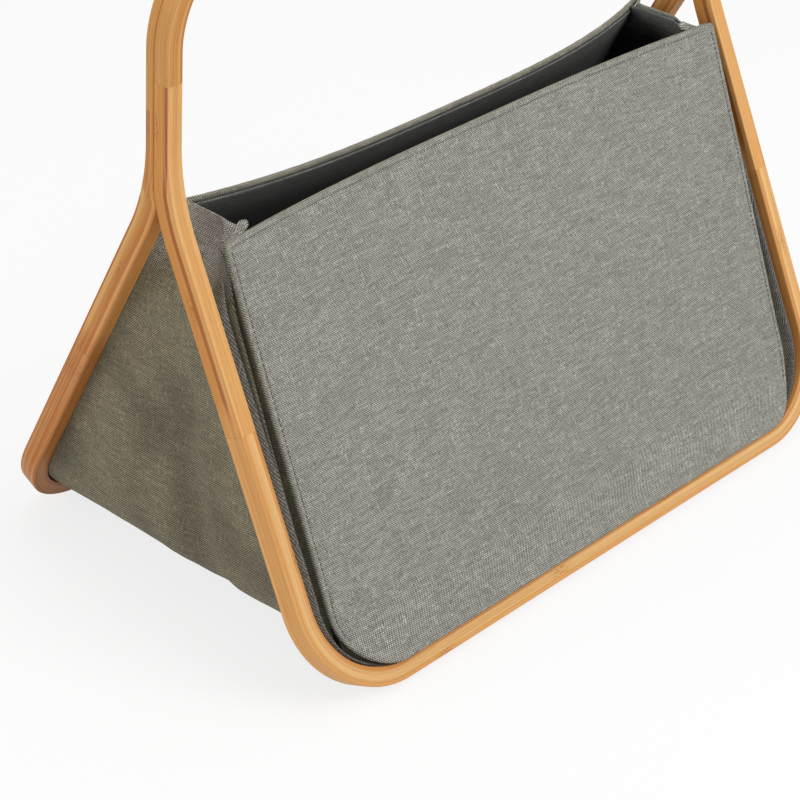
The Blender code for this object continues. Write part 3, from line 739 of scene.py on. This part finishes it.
def make_frame():
    handle_finish = bamboo_finish("bamboo_handle", HANDLE_STRIPS, FRONT_BOW_STRIPS[0][1])
    beech = beech_finish()
    for side, bow_strips, upright_strips in ((FRONT, FRONT_BOW_STRIPS, FRONT_UPRIGHT_STRIPS),
                                             (BACK, BACK_BOW_STRIPS, BACK_UPRIGHT_STRIPS)):
        name = SIDE_NAMES[side]
        hoop = hoop_frame(side)
        bow_finish = bamboo_finish("bamboo_" + name + "_bow", bow_strips, bow_strips[0][1])
        upright_finish = bamboo_finish("bamboo_" + name + "_upright", upright_strips, bow_strips[0][1])

        def on_hoop(point, wide):
            return hoop @ Vector((point.x, point.y, -BAR_DEPTH / 2 - wide))

        add_bar(name + "_lower_bow", bow_finish,
                bow_stations(LEG_JOINT_RISE - GLUE_GAP / 2, CORNER_RADIUS, 1.5 * pi, LOWER_LEG_STEPS),
                on_hoop, BAR_DEPTH, NODE_PITCH / 2 - BOW_NODE_PLACES[side])
        for end in (-1, 1):
            centre_x = end * (LENGTH - BAR_WIDTH) / 2

            def on_end(point, wide):
                return Vector((centre_x + wide, point.x, point.y))

            leg = name + "_" + END_NAMES[end]
            add_bar(leg + "_upright", upright_finish, upright_stations(side), on_end, BAR_WIDTH,
                    NODE_PITCH * (1 - UPRIGHT_START_SHARE * (2 + end)), BAR_DEPTH)
            dress(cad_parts[leg + "_dowel"], beech)
        near = -STEM_DEPTH / 2 if side == FRONT else SEAM_Y + GLUE_GAP
        far = SEAM_Y if side == FRONT else STEM_DEPTH / 2

        def on_handle(point, wide):
            return Vector((point.x, (near + far) / 2 + wide, point.y))

        add_bar(name + "_handle_bow", handle_finish,
                bow_stations(handle_joint_height(side) + GLUE_GAP / 2, HEIGHT - CORNER_RADIUS, pi / 2,
                             STEM_STEPS),
                on_handle, far - near, NODE_PITCH * HANDLE_START_SHARES[side])


# Stiff walls

EDGE_INSETS = (0.0, 0.00008, 0.0003, 0.0007, 0.0012, 0.0018, 0.0026, 0.0031, 0.0036, 0.0041, 0.0047, 0.0065)
WALL_COLUMNS = 90
WALL_ROWS = 100
BASE_ROWS = 50


def wall_half(rise, height):
    """Half the wall's length at one height, with round corners and a slight taper to the foot."""
    half = PANEL_HALF_LENGTH - PANEL_TAPER * (1 - smooth_share(rise, 0, height))
    low_x = half - PANEL_CORNER_RADIUS
    top = height - rise
    if rise < PANEL_CORNER_RADIUS:
        return low_x + sqrt(max(PANEL_CORNER_RADIUS ** 2 - (PANEL_CORNER_RADIUS - rise) ** 2, 0))
    if top < PANEL_TOP_RADIUS:
        return half - PANEL_TOP_RADIUS + sqrt(max(PANEL_TOP_RADIUS ** 2 - (PANEL_TOP_RADIUS - top) ** 2, 0))
    return half


def wall_edge_distance(x, rise, height):
    """Distance from a point of the wall to its outline."""
    half = wall_half(max(rise, PANEL_CORNER_RADIUS) if rise < height / 2 else height / 2, height)
    low_x = half - PANEL_CORNER_RADIUS
    if rise < PANEL_CORNER_RADIUS and abs(x) > low_x:
        return max(PANEL_CORNER_RADIUS - hypot(abs(x) - low_x, PANEL_CORNER_RADIUS - rise), 0)
    return max(min(wall_half(rise, height) - abs(x), rise, height - rise), 0)


def wall_rises(height):
    corner = [PANEL_CORNER_RADIUS * (1 - cos(radians(turn))) for turn in range(0, 90, 4)]
    low, high = PANEL_CORNER_RADIUS, height - EDGE_INSETS[-1]
    middle = [low + (high - low) * step / WALL_ROWS for step in range(WALL_ROWS)]
    return corner + middle + [height - inset for inset in reversed(EDGE_INSETS)]


def wall_places(half):
    inner = half - EDGE_INSETS[-1]
    left = [-half + inset for inset in EDGE_INSETS]
    middle = [inner * (2 * step / WALL_COLUMNS - 1) for step in range(1, WALL_COLUMNS)]
    return left + middle + [-place for place in reversed(left)]


def edge_swell(distance):
    """Share of the full thickness at a distance from the outline, with a round edge."""
    share = min(distance / PANEL_EDGE_RADIUS, 1)
    return sqrt(max(1 - (1 - share) ** 2, 0))


def wall_relief(x, rise, height, edge, seed):
    """How far the cloth stands proud of the board: swells, the topstitching's dent and its puckers."""
    swell = soft_noise(x * 14, rise * 14, seed) * WALL_SWELL
    swell += soft_noise(x * 45, rise * 45, seed + 5) * SMALL_SWELL
    sewn = 0 if rise < PANEL_CORNER_RADIUS / 2 else 1
    dent = -DENT_DEPTH * hump(edge, TOPSTITCH_INSET, DENT_HALF_WIDTH) * sewn
    along = rise if height - rise > edge + LEAST_OFFSET else x
    pucker = PUCKER_DEPTH * sin(along * 2 * pi / PUCKER_PITCH + soft_noise(along * 60, edge * 9, seed) * 3)
    pucker *= hump(edge, TOPSTITCH_INSET, PUCKER_REACH) * sewn
    return swell * smooth_share(edge, *SWELL_START) + dent + pucker


def wall_mesh(name, side, seed):
    height = PANELS[side]["height"]
    shape = bmesh.new()
    weave = shape.verts.layers.float_vector.new("weave")
    tint = shape.verts.layers.float.new("tint")
    for face in (-1, 1):
        grid = []
        for rise in wall_rises(height):
            row = []
            for x in wall_places(wall_half(rise, height)):
                edge = wall_edge_distance(x, rise, height)
                relief = wall_relief(x, rise, height, edge, seed + face)
                depth = PANEL_THICKNESS / 2 * (1 + face * edge_swell(edge))
                vertex = shape.verts.new(wall_point(side, x, rise, depth + face * relief))
                vertex[weave] = Vector((x + copysign(depth, x) + 1, rise + depth, 0))
                vertex[tint] = EDGE_TINT_SHARE * (1 - smooth_share(edge, *EDGE_TINT_RANGE))
                row.append(vertex)
            grid.append(row)
        skin(shape, grid)
    bmesh.ops.remove_doubles(shape, verts=shape.verts, dist=WELD_DISTANCE)
    return take_mesh(shape, name)


def stitch_mesh(name, runs, length, radius):
    """Single stitches along runs of (start, end, outward normal), each a short arched thread."""
    shape = bmesh.new()
    sides, rings = 6, 5
    turns = [2 * pi * side / sides for side in range(sides)]
    for run in runs:
        for start, end, normal in run:
            across = (end - start).normalized().cross(normal).normalized()
            loops = []
            for ring in range(rings):
                share = ring / (rings - 1)
                lift = radius * (1.5 * sin(pi * share) - 0.7)
                thin = radius * (0.45 + 0.55 * sin(pi * share))
                centre = start.lerp(end, share) + normal * lift
                loops.append([shape.verts.new(centre + across * thin * cos(turn) + normal * thin * sin(turn))
                              for turn in turns])
            skin(shape, loops, closed=True)
            shape.faces.new(reversed(loops[0]))
            shape.faces.new(loops[-1])
    return take_mesh(shape, name)


def stitches_along(route):
    """Cuts a route, a function from distance to (point, normal), into stitches."""
    place, total = route
    count = int(total / STITCH_PITCH)
    stitches = []
    for index in range(count):
        start, normal = place(index * STITCH_PITCH)
        end, _ = place(index * STITCH_PITCH + STITCH_LENGTH)
        stitches.append((start, end, normal))
    return stitches


def wall_stitch_routes(side, face):
    """Topstitching up both side edges and along the top of one face of a wall."""
    height = PANELS[side]["height"]
    outward = (PANELS[side]["frame"].to_3x3() @ Vector((0, 0, -face))).normalized()
    top = height - TOPSTITCH_INSET
    bottom = PANEL_CORNER_RADIUS * STITCH_START_SHARE
    depth = PANEL_THICKNESS / 2 + face * (PANEL_THICKNESS / 2 - STITCH_SINK)

    def up_edge(end):
        def place(distance):
            rise = bottom + distance
            return wall_point(side, end * (wall_half(rise, height) - TOPSTITCH_INSET), rise, depth), outward
        return place, top - bottom

    def along_top(distance):
        half = wall_half(height / 2, height) + PANEL_TAPER / 2 - TOPSTITCH_INSET
        return panel_point(side, -half + distance, top, depth), outward

    return [up_edge(-1), up_edge(1), (along_top, 2 * (PANEL_HALF_LENGTH - TOPSTITCH_INSET))]


def wall_board_mesh(name, side):
    """Board inside a wall's sleeve, a little smaller all round."""
    height = PANELS[side]["height"] - 2 * BOARD_INSET
    shape = bmesh.new()
    outlines = []
    for face in (-1, 1):
        depth = (PANEL_THICKNESS + face * BOARD_THICKNESS) / 2
        grid = []
        for row in range(BOARD_STEPS + 1):
            rise = BOARD_INSET + height * row / BOARD_STEPS
            half = wall_half(rise, PANELS[side]["height"]) - BOARD_INSET
            places = [half * (2 * step / BOARD_STEPS - 1) for step in range(BOARD_STEPS + 1)]
            grid.append([shape.verts.new(wall_point(side, x, rise, depth)) for x in places])
        skin(shape, grid)
        right_edge = [row[-1] for row in grid[1:]]
        left_edge = [row[0] for row in grid[-2:0:-1]]
        outlines.append(grid[0] + right_edge + grid[-1][-2::-1] + left_edge)
    for index in range(len(outlines[0])):
        before = index - 1
        shape.faces.new((outlines[0][before], outlines[0][index], outlines[1][index], outlines[1][before]))
    return take_mesh(shape, name, smooth=False)


def make_walls(cloth, thread, board):
    for number, side in enumerate((FRONT, BACK)):
        name = SIDE_NAMES[side] + "_wall"
        mesh = wall_mesh(name + "_cloth", side, 2.0 + number * 9)
        add_piece(mesh.name, mesh, cloth, "grey_cloth", SIDE_NAMES[side] + "_panel_cover")
        runs = [stitches_along(route) for route in wall_stitch_routes(side, -1)]
        mesh = stitch_mesh(name + "_topstitching", runs, STITCH_LENGTH, STITCH_RADIUS)
        add_piece(mesh.name, mesh, thread, "grey_cloth")
        mesh = wall_board_mesh(name + "_board", side)
        add_piece(mesh.name, mesh, board, "stiffener_board", SIDE_NAMES[side] + "_panel_board")
    dress(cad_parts["base_board"], board)


# Floor of the bag

def make_base(cloth):
    """Flat sleeve round the floor's board, with soft edges."""
    low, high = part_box("base_cover")
    half_length, half_width = (high.x - low.x) / 2, (high.y - low.y) / 2
    middle_z, thickness = (low.z + high.z) / 2, high.z - low.z
    shape = bmesh.new()
    weave = shape.verts.layers.float_vector.new("weave")
    tint = shape.verts.layers.float.new("tint")
    inner = half_width - EDGE_INSETS[-1]
    edge_rows = [-half_width + inset for inset in EDGE_INSETS]
    middle_rows = [inner * (2 * step / BASE_ROWS - 1) for step in range(1, BASE_ROWS)]
    rows = edge_rows + middle_rows + [-row for row in reversed(edge_rows)]
    for face in (-1, 1):
        grid = []
        for y in rows:
            row = []
            for x in wall_places(half_length):
                edge = min(half_length - abs(x), half_width - abs(y))
                swell = soft_noise(x * 20, y * 20, 31 + face) * BASE_SWELL * smooth_share(edge, *SWELL_START)
                z = middle_z + face * (thickness / 2 * edge_swell(edge) + swell)
                vertex = shape.verts.new((x, y, z))
                vertex[weave] = Vector((x + 3, y + 3, 0))
                vertex[tint] = BASE_TINT_SHARE
                row.append(vertex)
            grid.append(row)
        skin(shape, grid)
    bmesh.ops.remove_doubles(shape, verts=shape.verts, dist=WELD_DISTANCE)
    mesh = take_mesh(shape, "base_cloth")
    add_piece(mesh.name, mesh, cloth, "grey_cloth", "base_cover")


# Cloth ends

CORNER_ROWS = 30
LEG_ROWS = 96
CURVE_STEPS = 7

# The pleat between wall and bar, from the wall to the bar's back edge:
# (distance in from the bar, share of the wall's own depth, depth)
STRIP_PLAN = ((0.0122, 1.0, 0.0050), (0.0094, 1.0, 0.0014), (0.0079, 0.0, 0.0090), (0.0056, 0.0, 0.0031),
              (0.0006, 0.0, 0.0074))

# The tab where the cloth end folds back to the front wall, at the hem and a little below it:
# (distance in from the bars' inner face, distance from the wall's inner face, rise)
TAB_DROP = 0.0046
TAB_HIGH = ((0.0334, 0.0006, 0.0006), (0.0342, 0.0024, 0.0034), (0.0302, 0.0032, 0.0044),
            (0.0288, 0.0044, 0.0022))
TAB_LOW = ((0.0150, 0.0008, 0.0), (0.0160, 0.0018, 0.0), (0.0124, 0.0016, 0.0), (0.0138, 0.0046, 0.0))

# Plan of the cloth end's hem from the tab to the back wall: (distance in, y, rise above the wall's top)
HEM_PLAN = ((0.0265, -0.0110, 0.0025), (0.0265, -0.0040, 0.0025), (0.0265, 0.0030, 0.0025),
            (0.0265, 0.0090, 0.0025), (0.0262, 0.0135, 0.0024), (0.0250, 0.0168, 0.0020),
            (0.0225, 0.0192, 0.0016), (0.0190, 0.0210, 0.0012), (0.0160, 0.0224, 0.0006))

# Crease down the cloth end, as (height, y)
CREASE = ((0.000, -0.0300), (0.069, -0.0196), (0.1165, -0.0120), (0.157, -0.0054), (0.220, 0.0040))
CREASE_SWAY = 0.003

# Fold beside the crease, slack cloth and finer wrinkles, and the heights between which they start or fade
FOLD_DEPTH = 0.0066
FOLD_WIDTH_BEHIND = 0.034
FOLD_WIDTH_BEFORE = 0.015
FOLD_FADE_HEIGHTS = (0.13, 0.20)
SLACK_DEPTH = 0.0044
DIAGONAL_DEPTH = 0.0036
FINE_DEPTH = 0.0007
SLACK_START_HEIGHTS = (0.014, 0.060)
TAUT_HEIGHTS = (0.200, 0.236)
# Painted shade behind the crease: its distance behind, half width, and the heights between which it fades
SHADE_BEHIND_CREASE = 0.011
SHADE_HALF_WIDTH = 0.017
SHADE_FADE_HEIGHTS = (0.120, 0.180)

# How far the lower corner is drawn in: the least, and each (pull, start, end) that comes in between two
# distances to the front. The first two make the kink.
LEAST_PULL = 0.0006
CORNER_PULLS = ((0.0012, 0.020, 0.032), (-0.0012, 0.035, 0.039), (0.0012, -0.100, 0.030),
                (0.0056, 0.034, 0.110))


def end_stations():
    """Pairs of (x, rise) and inward direction up the inner side of the left legs in the hoop's plane."""
    offset = BAR_WIDTH + CLOTH_BAR_GAP + CLOTH_THICKNESS / 2
    stations = []
    for point in arc((-RAIL_HALF_LENGTH, CORNER_RADIUS), CORNER_RADIUS - offset, 1.5 * pi, pi, CORNER_ROWS):
        inward = (Vector((-RAIL_HALF_LENGTH, CORNER_RADIUS)) - point).normalized()
        stations.append((point, inward))
    top = (PANEL_TOP_HEIGHT - FOOT_HEIGHT) / cos(LEG_TILT)
    for step in range(1, LEG_ROWS + 1):
        rise = CORNER_RADIUS + (top - CORNER_RADIUS) * step / LEG_ROWS
        stations.append((Vector((-LENGTH / 2 + offset, rise)), Vector((1, 0))))
    return stations


def sewn_stations(side):
    """(x, rise) along a wall's left edge, a little inside it, beside the stations of the end."""
    height = PANELS[side]["height"]
    radius = PANEL_CORNER_RADIUS - STRIP_LAP
    half = PANEL_HALF_LENGTH - PANEL_TAPER
    edge = arc((-half + PANEL_CORNER_RADIUS, PANEL_CORNER_RADIUS), radius, 1.5 * pi, pi, CORNER_ROWS)
    for step in range(1, LEG_ROWS + 1):
        rise = PANEL_CORNER_RADIUS + (height - PANEL_CORNER_RADIUS) * step / LEG_ROWS
        widening = PANEL_TAPER * smooth_share(rise, height / 2, height) / 2
        edge.append(Vector((-wall_half(min(rise, height / 2), height) + STRIP_LAP - widening, rise)))
    return edge


def corner_pull(y):
    """How far the cloth's lower corner is drawn in: more to the front, with a small kink."""
    return LEAST_PULL + sum(pull * smooth_share(-y, start, end) for pull, start, end in CORNER_PULLS)


def crease_y(z):
    for (low_z, low_y), (high_z, high_y) in zip(CREASE, CREASE[1:]):
        if z <= high_z:
            return low_y + (high_y - low_y) * (z - low_z) / (high_z - low_z)
    return CREASE[-1][1]


def end_wrinkle(y, z, seed):
    """Creases of the cloth end, as a distance inward."""
    away = y - crease_y(z) - CREASE_SWAY * soft_noise(z * 22, 1.5, seed)
    width = FOLD_WIDTH_BEHIND if away > 0 else FOLD_WIDTH_BEFORE
    fold = FOLD_DEPTH * max(1 - abs(away) / width, 0) ** 1.6 * (1 - smooth_share(z, *FOLD_FADE_HEIGHTS))
    slack = SLACK_DEPTH * soft_noise(y * 24 + z * 10, z * 18 - y * 6, seed + 3)
    diagonal = DIAGONAL_DEPTH * soft_noise((y + z) * 48, (y - z) * 12, seed + 7)
    fine = FINE_DEPTH * soft_noise(y * 110, z * 70, seed + 11)
    taut = 1 - 0.8 * smooth_share(z, *TAUT_HEIGHTS)
    return (fold + slack + diagonal + fine) * smooth_share(z, *SLACK_START_HEIGHTS) * taut


def strip_fit(number):
    """Shares of the strip's full width and lift beside a station: none at the rail, all up the leg."""
    turn = min(number / CORNER_ROWS, 1)
    return 1 - cos(pi / 2 * turn), smooth_share(turn, 0.05, 0.4)


def end_row(number, stations, sewn):
    """One row of the left cloth end, front to back."""
    point, inward = stations[number]
    nominal = FOOT_HEIGHT + point.y * cos(LEG_TILT)
    free = smooth_share(nominal, FOLD_START_HEIGHT, PANEL_TOP_HEIGHT + HEM_LIFT)
    fit, lift = strip_fit(number)

    def seated(side):
        points = [wall_point(side, *sewn[side][number], PANEL_THICKNESS + CLOTH_THICKNESS)]
        wall_depth = -(hoop_frame(side).inverted() @ points[0]).z
        for distance, wall_share, depth in STRIP_PLAN:
            spot = point + inward * distance * fit
            deep = wall_depth + (wall_depth * (wall_share - 1) + depth) * lift
            points.append(hoop_frame(side) @ Vector((-side * spot.x, spot.y, -deep)))
        return points

    front, back = seated(FRONT), seated(BACK)
    middle = [front[-1].lerp(back[-1], share) for share in (0.25, 0.5, 0.75)]
    rest = front + middle + back[::-1]
    rise = sewn[FRONT][number].y
    tab = smooth_share(nominal, PANEL_TOP_HEIGHT - TAB_DROP, PANEL_TOP_HEIGHT)
    hem = [front[0]]
    for low, high in zip(TAB_LOW, TAB_HIGH):
        distance, off, raised = Vector(low).lerp(Vector(high), tab)
        wall = panel_point(FRONT, -INNER_HALF_LENGTH + distance, rise, PANEL_THICKNESS)
        hem.append(wall + Vector((0, off, raised)))
    hem += [Vector((-INNER_HALF_LENGTH + distance, y, nominal + raised)) for distance, y, raised in HEM_PLAN]
    hem.append(back[0])
    controls = [spot.lerp(top, free) for spot, top in zip(rest, hem)]
    return smooth_through(controls, CURVE_STEPS)


def end_rows(seed):
    stations = end_stations()
    sewn = {side: sewn_stations(side) for side in (FRONT, BACK)}
    rows = [end_row(number, stations, sewn) for number in range(len(stations))]
    for number, row in enumerate(rows):
        inward = stations[number][1]
        inward = Vector((inward.x, 0, inward.y))
        turned = 1 - smooth_share(stations[number][0].y, CORNER_RADIUS * 0.4, CORNER_RADIUS * 1.2)
        for index, spot in enumerate(row):
            slack = end_slack(index, len(row))
            pull = corner_pull(spot.y) * turned
            row[index] = spot + inward * ((end_wrinkle(spot.y, spot.z, seed) + pull) * slack)
    return rows


def end_slack(index, count):
    """0 where the cloth is held by a bar or a wall, 1 in the free middle."""
    first = CURVE_STEPS * len(STRIP_PLAN)
    reach = min(index - first, count - 1 - first - index)
    return smooth_share(reach, 0, CURVE_STEPS * 0.9)


def cloth_grid(name, rows, tint_at, shade_at, mirror, weave_shift):
    """Open sheet through rows of points, with its place on the flat cloth measured from the middle column."""
    shape = bmesh.new()
    weave = shape.verts.layers.float_vector.new("weave")
    tint = shape.verts.layers.float.new("tint")
    shade = shape.verts.layers.float.new("shade")
    middle = len(rows[0]) // 2
    grid = []
    climb = 0.0
    for number, row in enumerate(rows):
        if number:
            climb += (row[middle] - rows[number - 1][middle]).length
        along = [0.0]
        for before, after in zip(row, row[1:]):
            along.append(along[-1] + (after - before).length)
        up = number / (len(rows) - 1)
        line_of_verts = []
        for index, spot in enumerate(row):
            across = index / (len(row) - 1)
            vertex = shape.verts.new((-spot.x if mirror else spot.x, spot.y, spot.z))
            vertex[weave] = Vector((weave_shift + along[index] - along[middle], climb, 0))
            vertex[tint] = tint_at(up, across)
            # Share of painted shade, set on the cloth ends and the lining
            vertex[shade] = shade_at(up, across, spot)
            line_of_verts.append(vertex)
        grid.append(line_of_verts)
    for lower, upper in zip(grid, grid[1:]):
        for index in range(len(lower) - 1):
            corners = (lower[index], upper[index], upper[index + 1], lower[index + 1])
            shape.faces.new(corners[::-1] if mirror else corners)
    return take_mesh(shape, name, turn_out=False)


def end_painted_olive_shade(up, across):
    """Painted shade, darker and warmer, on the cloth's outside, least on the folds and hem that face the
    light.
    """
    return 1.0 - max(0.9 * hump(end_control(across), 4.0, 1.0), smooth_share(up, 0.86, 0.95))


def end_control(across):
    """Number of the control point at a share of a row, counted from the nearer wall."""
    return min(across, 1 - across) * (len(HEM_PLAN) + len(TAB_HIGH) + 1)


def end_painted_shade(up, across, spot):
    """Painted shade on the pleat, and in patches of the slack cloth, most behind the crease."""
    pleat = hump(end_control(across), 4.0, 1.2) * (1 - smooth_share(up, 0.82, 0.92))
    behind = hump(spot.y - crease_y(spot.z), SHADE_BEHIND_CREASE, SHADE_HALF_WIDTH)
    patch = smooth_share(soft_noise(spot.y * 23, spot.z * 19, 17.3), 0.0, 0.32)
    return max(0.9 * pleat, 0.42 * max(behind, patch) * (1 - smooth_share(spot.z, *SHADE_FADE_HEIGHTS)))


def make_ends(cloth):
    for end in (-1, 1):
        mesh = cloth_grid(END_NAMES[end] + "_end_cloth", end_rows(4.0 + end), end_painted_olive_shade, end_painted_shade,
                          end > 0, 5.0 + end)
        piece = add_piece(mesh.name, mesh, cloth, "grey_cloth", END_NAMES[end] + "_gusset")
        thicken(piece, CLOTH_THICKNESS)


# Lining

LINING_END_COLUMNS = 26
LINING_WALL_COLUMNS = 40


def lining_end(row, point, inward, start_y, end_y):
    """The lining's left end at one station, from wall to wall, clear of the folds of the cloth end."""
    inward = Vector((inward.x, 0, inward.y))
    spots = []
    for step in range(LINING_END_COLUMNS + 1):
        y = start_y + (end_y - start_y) * step / LINING_END_COLUMNS
        base = Vector((point.x, y, min(row, key=lambda spot: abs(spot.y - y)).z))
        window = (end_y - start_y) / LINING_END_COLUMNS + LINING_WINDOW
        reach = max((spot - base).dot(inward) for spot in row if abs(spot.y - y) <= window)
        spots.append(base + inward * (reach + LINING_GAP + CLOTH_THICKNESS / 2))
    return spots


def lining_ring(number, stations, sewn, end_rows_of):
    """One ring of the lining: front wall, right end, back wall and left end."""
    point, inward = stations[number]
    depth = PANEL_THICKNESS + LINING_GAP
    corner = {side: panel_point(side, sewn[side][number].x + LINING_GAP, sewn[side][number].y, depth)
              for side in (FRONT, BACK)}
    ends = {end: lining_end(end_rows_of[end][number], point, inward, corner[FRONT].y, corner[BACK].y)
            for end in (-1, 1)}

    def along(side, start, finish):
        columns = LINING_WALL_COLUMNS
        return [panel_point(side, start + (finish - start) * k / columns, sewn[side][number].y, depth)
                for k in range(columns + 1)]

    front = along(FRONT, ends[-1][0].x, -ends[1][0].x)
    back = along(BACK, -ends[1][-1].x, ends[-1][-1].x)
    right = [Vector((-spot.x, spot.y, spot.z)) for spot in ends[1][1:-1]]
    left = ends[-1][1:-1][::-1]
    return front + right + back + left + [front[0].copy()]


def lining_painted_shade(up, across, spot):
    """Painted light and shade: the lining is paler by its hem and darker deeper down."""
    return smooth_share(PANEL_TOP_HEIGHT - spot.z, *LINING_PAINTED_SHADE_RANGE)


def make_lining(cloth):
    """Tub inside the bag, open at the top, that follows the walls and stays clear of the cloth ends."""
    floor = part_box("base_cover")[1].z + FLOOR_CLEARANCE
    stations = end_stations()
    sewn = {side: sewn_stations(side) for side in (FRONT, BACK)}
    end_rows_of = {end: end_rows(4.0 + end) for end in (-1, 1)}
    rings = []
    for number, (point, _) in enumerate(stations):
        nominal = FOOT_HEIGHT + point.y * cos(LEG_TILT)
        if floor + LINING_WINDOW < nominal <= PANEL_TOP_HEIGHT - LINING_HEM_DROP:
            ring = lining_ring(number, stations, sewn, end_rows_of)
            rings.append([Vector((spot.x, spot.y, max(spot.z, floor))) for spot in ring])
    foot = -end_rows_of[-1][0][0].x - LINING_GAP
    narrow = foot / max(abs(spot.x) for spot in rings[0])
    step = [Vector((spot.x * narrow, spot.y, spot.z)) for spot in rings[0]]
    rings = [[Vector((spot.x, spot.y, floor)) for spot in step], step] + rings
    mesh = cloth_grid("lining_cloth", rings, lambda up, across: 0.0, lining_painted_shade, False, 8.0)
    shape = bmesh.new()
    shape.from_mesh(mesh)
    bmesh.ops.remove_doubles(shape, verts=shape.verts, dist=2 * WELD_DISTANCE)
    bottom = [edge for edge in shape.edges
              if edge.is_boundary and max(vertex.co.z for vertex in edge.verts) < floor + FLOOR_CLEARANCE]
    bmesh.ops.holes_fill(shape, edges=bottom, sides=0)
    bmesh.ops.recalc_face_normals(shape, faces=shape.faces)
    shape.to_mesh(mesh)
    shape.free()
    piece = add_piece("lining_cloth", mesh, cloth, "charcoal_lining", "lining")
    thicken(piece, LINING_THICKNESS)


# Stage

def seen_plainly(tree):
    """1 for what the camera sees, also in gloss and through clear things."""
    path = add_node(tree, "LightPath").outputs
    seen = path["Is Camera Ray"]
    for ray in ("Is Glossy Ray", "Is Transmission Ray"):
        seen = add_node(tree, "Math", seen, path[ray], operation="MAXIMUM").outputs[0]
    return seen


def white_to_camera(material, white_share):
    """Shows the surface as white to the camera, with part of its own shading kept for the shadow."""
    tree = material.node_tree
    share = add_node(tree, "Math", seen_plainly(tree), white_share, operation="MULTIPLY")
    glow = add_node(tree, "Emission", grey(1.0), 1.0)
    shader = tree.nodes["Principled BSDF"]
    mixed = add_node(tree, "MixShader", share.outputs[0], shader.outputs[0], glow.outputs[0])
    put(tree, mixed.outputs[0], tree.nodes["Material Output"].inputs["Surface"])


def make_floor():
    shape = bmesh.new()
    bmesh.ops.create_grid(shape, x_segments=1, y_segments=1, size=FLOOR_SIZE / 2)
    bmesh.ops.translate(shape, vec=(0, 0, -FLOOR_CLEARANCE), verts=shape.verts)
    mesh = take_mesh(shape, "studio_floor", turn_out=False, smooth=False)
    floor = bpy.data.objects.new("studio_floor", mesh)
    bpy.context.scene.collection.objects.link(floor)
    finish = Finish("pale_floor", 0.9)
    finish.set(Base_Color=grey(FLOOR_GREY))
    white_to_camera(finish.material, FLOOR_WHITE_SHARE)
    mesh.materials.append(finish.material)


def make_world():
    world = bpy.data.worlds.new("studio_world")
    bpy.context.scene.world = world
    world.use_nodes = True
    tree = world.node_tree
    tree.nodes.clear()
    room = add_node(tree, "Background", grey(1.0), WORLD_LEVEL)
    white = add_node(tree, "Background", grey(1.0), 1.0)
    mixed = add_node(tree, "MixShader", seen_plainly(tree), room.outputs[0], white.outputs[0])
    add_node(tree, "OutputWorld", mixed.outputs[0])


def make_lights():
    for name, place, size, power, colour in LAMPS:
        data = bpy.data.lights.new(name, "AREA")
        data.shape = "SQUARE"
        data.size = size
        data.energy = power
        data.color = colour
        lamp = bpy.data.objects.new(name, data)
        bpy.context.scene.collection.objects.link(lamp)
        lamp.location = place
        lamp.rotation_mode = "QUATERNION"
        lamp.rotation_quaternion = (LAMP_TARGET - Vector(place)).to_track_quat("-Z", "Y")


def make_camera():
    data = bpy.data.cameras.new("photo_camera")
    data.sensor_width = SENSOR_WIDTH
    data.lens = SENSOR_WIDTH * FOCAL_PIXELS / PICTURE_SIZE
    data.shift_x = (PICTURE_SIZE / 2 - VIEW_CENTRE_PIXEL[0]) / PICTURE_SIZE
    data.shift_y = (VIEW_CENTRE_PIXEL[1] - PICTURE_SIZE / 2) / PICTURE_SIZE
    data.clip_start = CLIP_NEAR
    data.clip_end = CLIP_FAR
    camera = bpy.data.objects.new("photo_camera", data)
    bpy.context.scene.collection.objects.link(camera)
    level = cos(CAMERA_PITCH)
    forward = Vector((sin(CAMERA_YAW) * level, cos(CAMERA_YAW) * level, -sin(CAMERA_PITCH)))
    right = Vector((cos(CAMERA_YAW), -sin(CAMERA_YAW), 0))
    up = right.cross(forward)
    camera.matrix_world = (Matrix.Translation(CAMERA_PLACE)
                           @ Matrix((right, up, -forward)).transposed().to_4x4())
    bpy.context.scene.camera = camera


def main():
    make_camera()
    make_world()
    make_lights()
    make_floor()
    cloth = woven_finish("grey_woven_cloth", CLOTH_WARP, CLOTH_WEFT, CLOTH_GAP, CLOTH_TINT, CLOTH_PAINTED_SHADE,
                         YARN_PITCH)
    lining = woven_finish("charcoal_lining_cloth", LINING_WARP, LINING_WEFT, LINING_YARN_GAP, grey(1.0),
                          LINING_PAINTED_SHADE, LINING_YARN_PITCH)
    make_frame()
    make_walls(cloth, thread_finish("grey_thread", THREAD), board_finish())
    make_base(cloth)
    make_ends(cloth)
    make_lining(lining)
    bpy.context.scene.view_settings.view_transform = "Standard"


main()
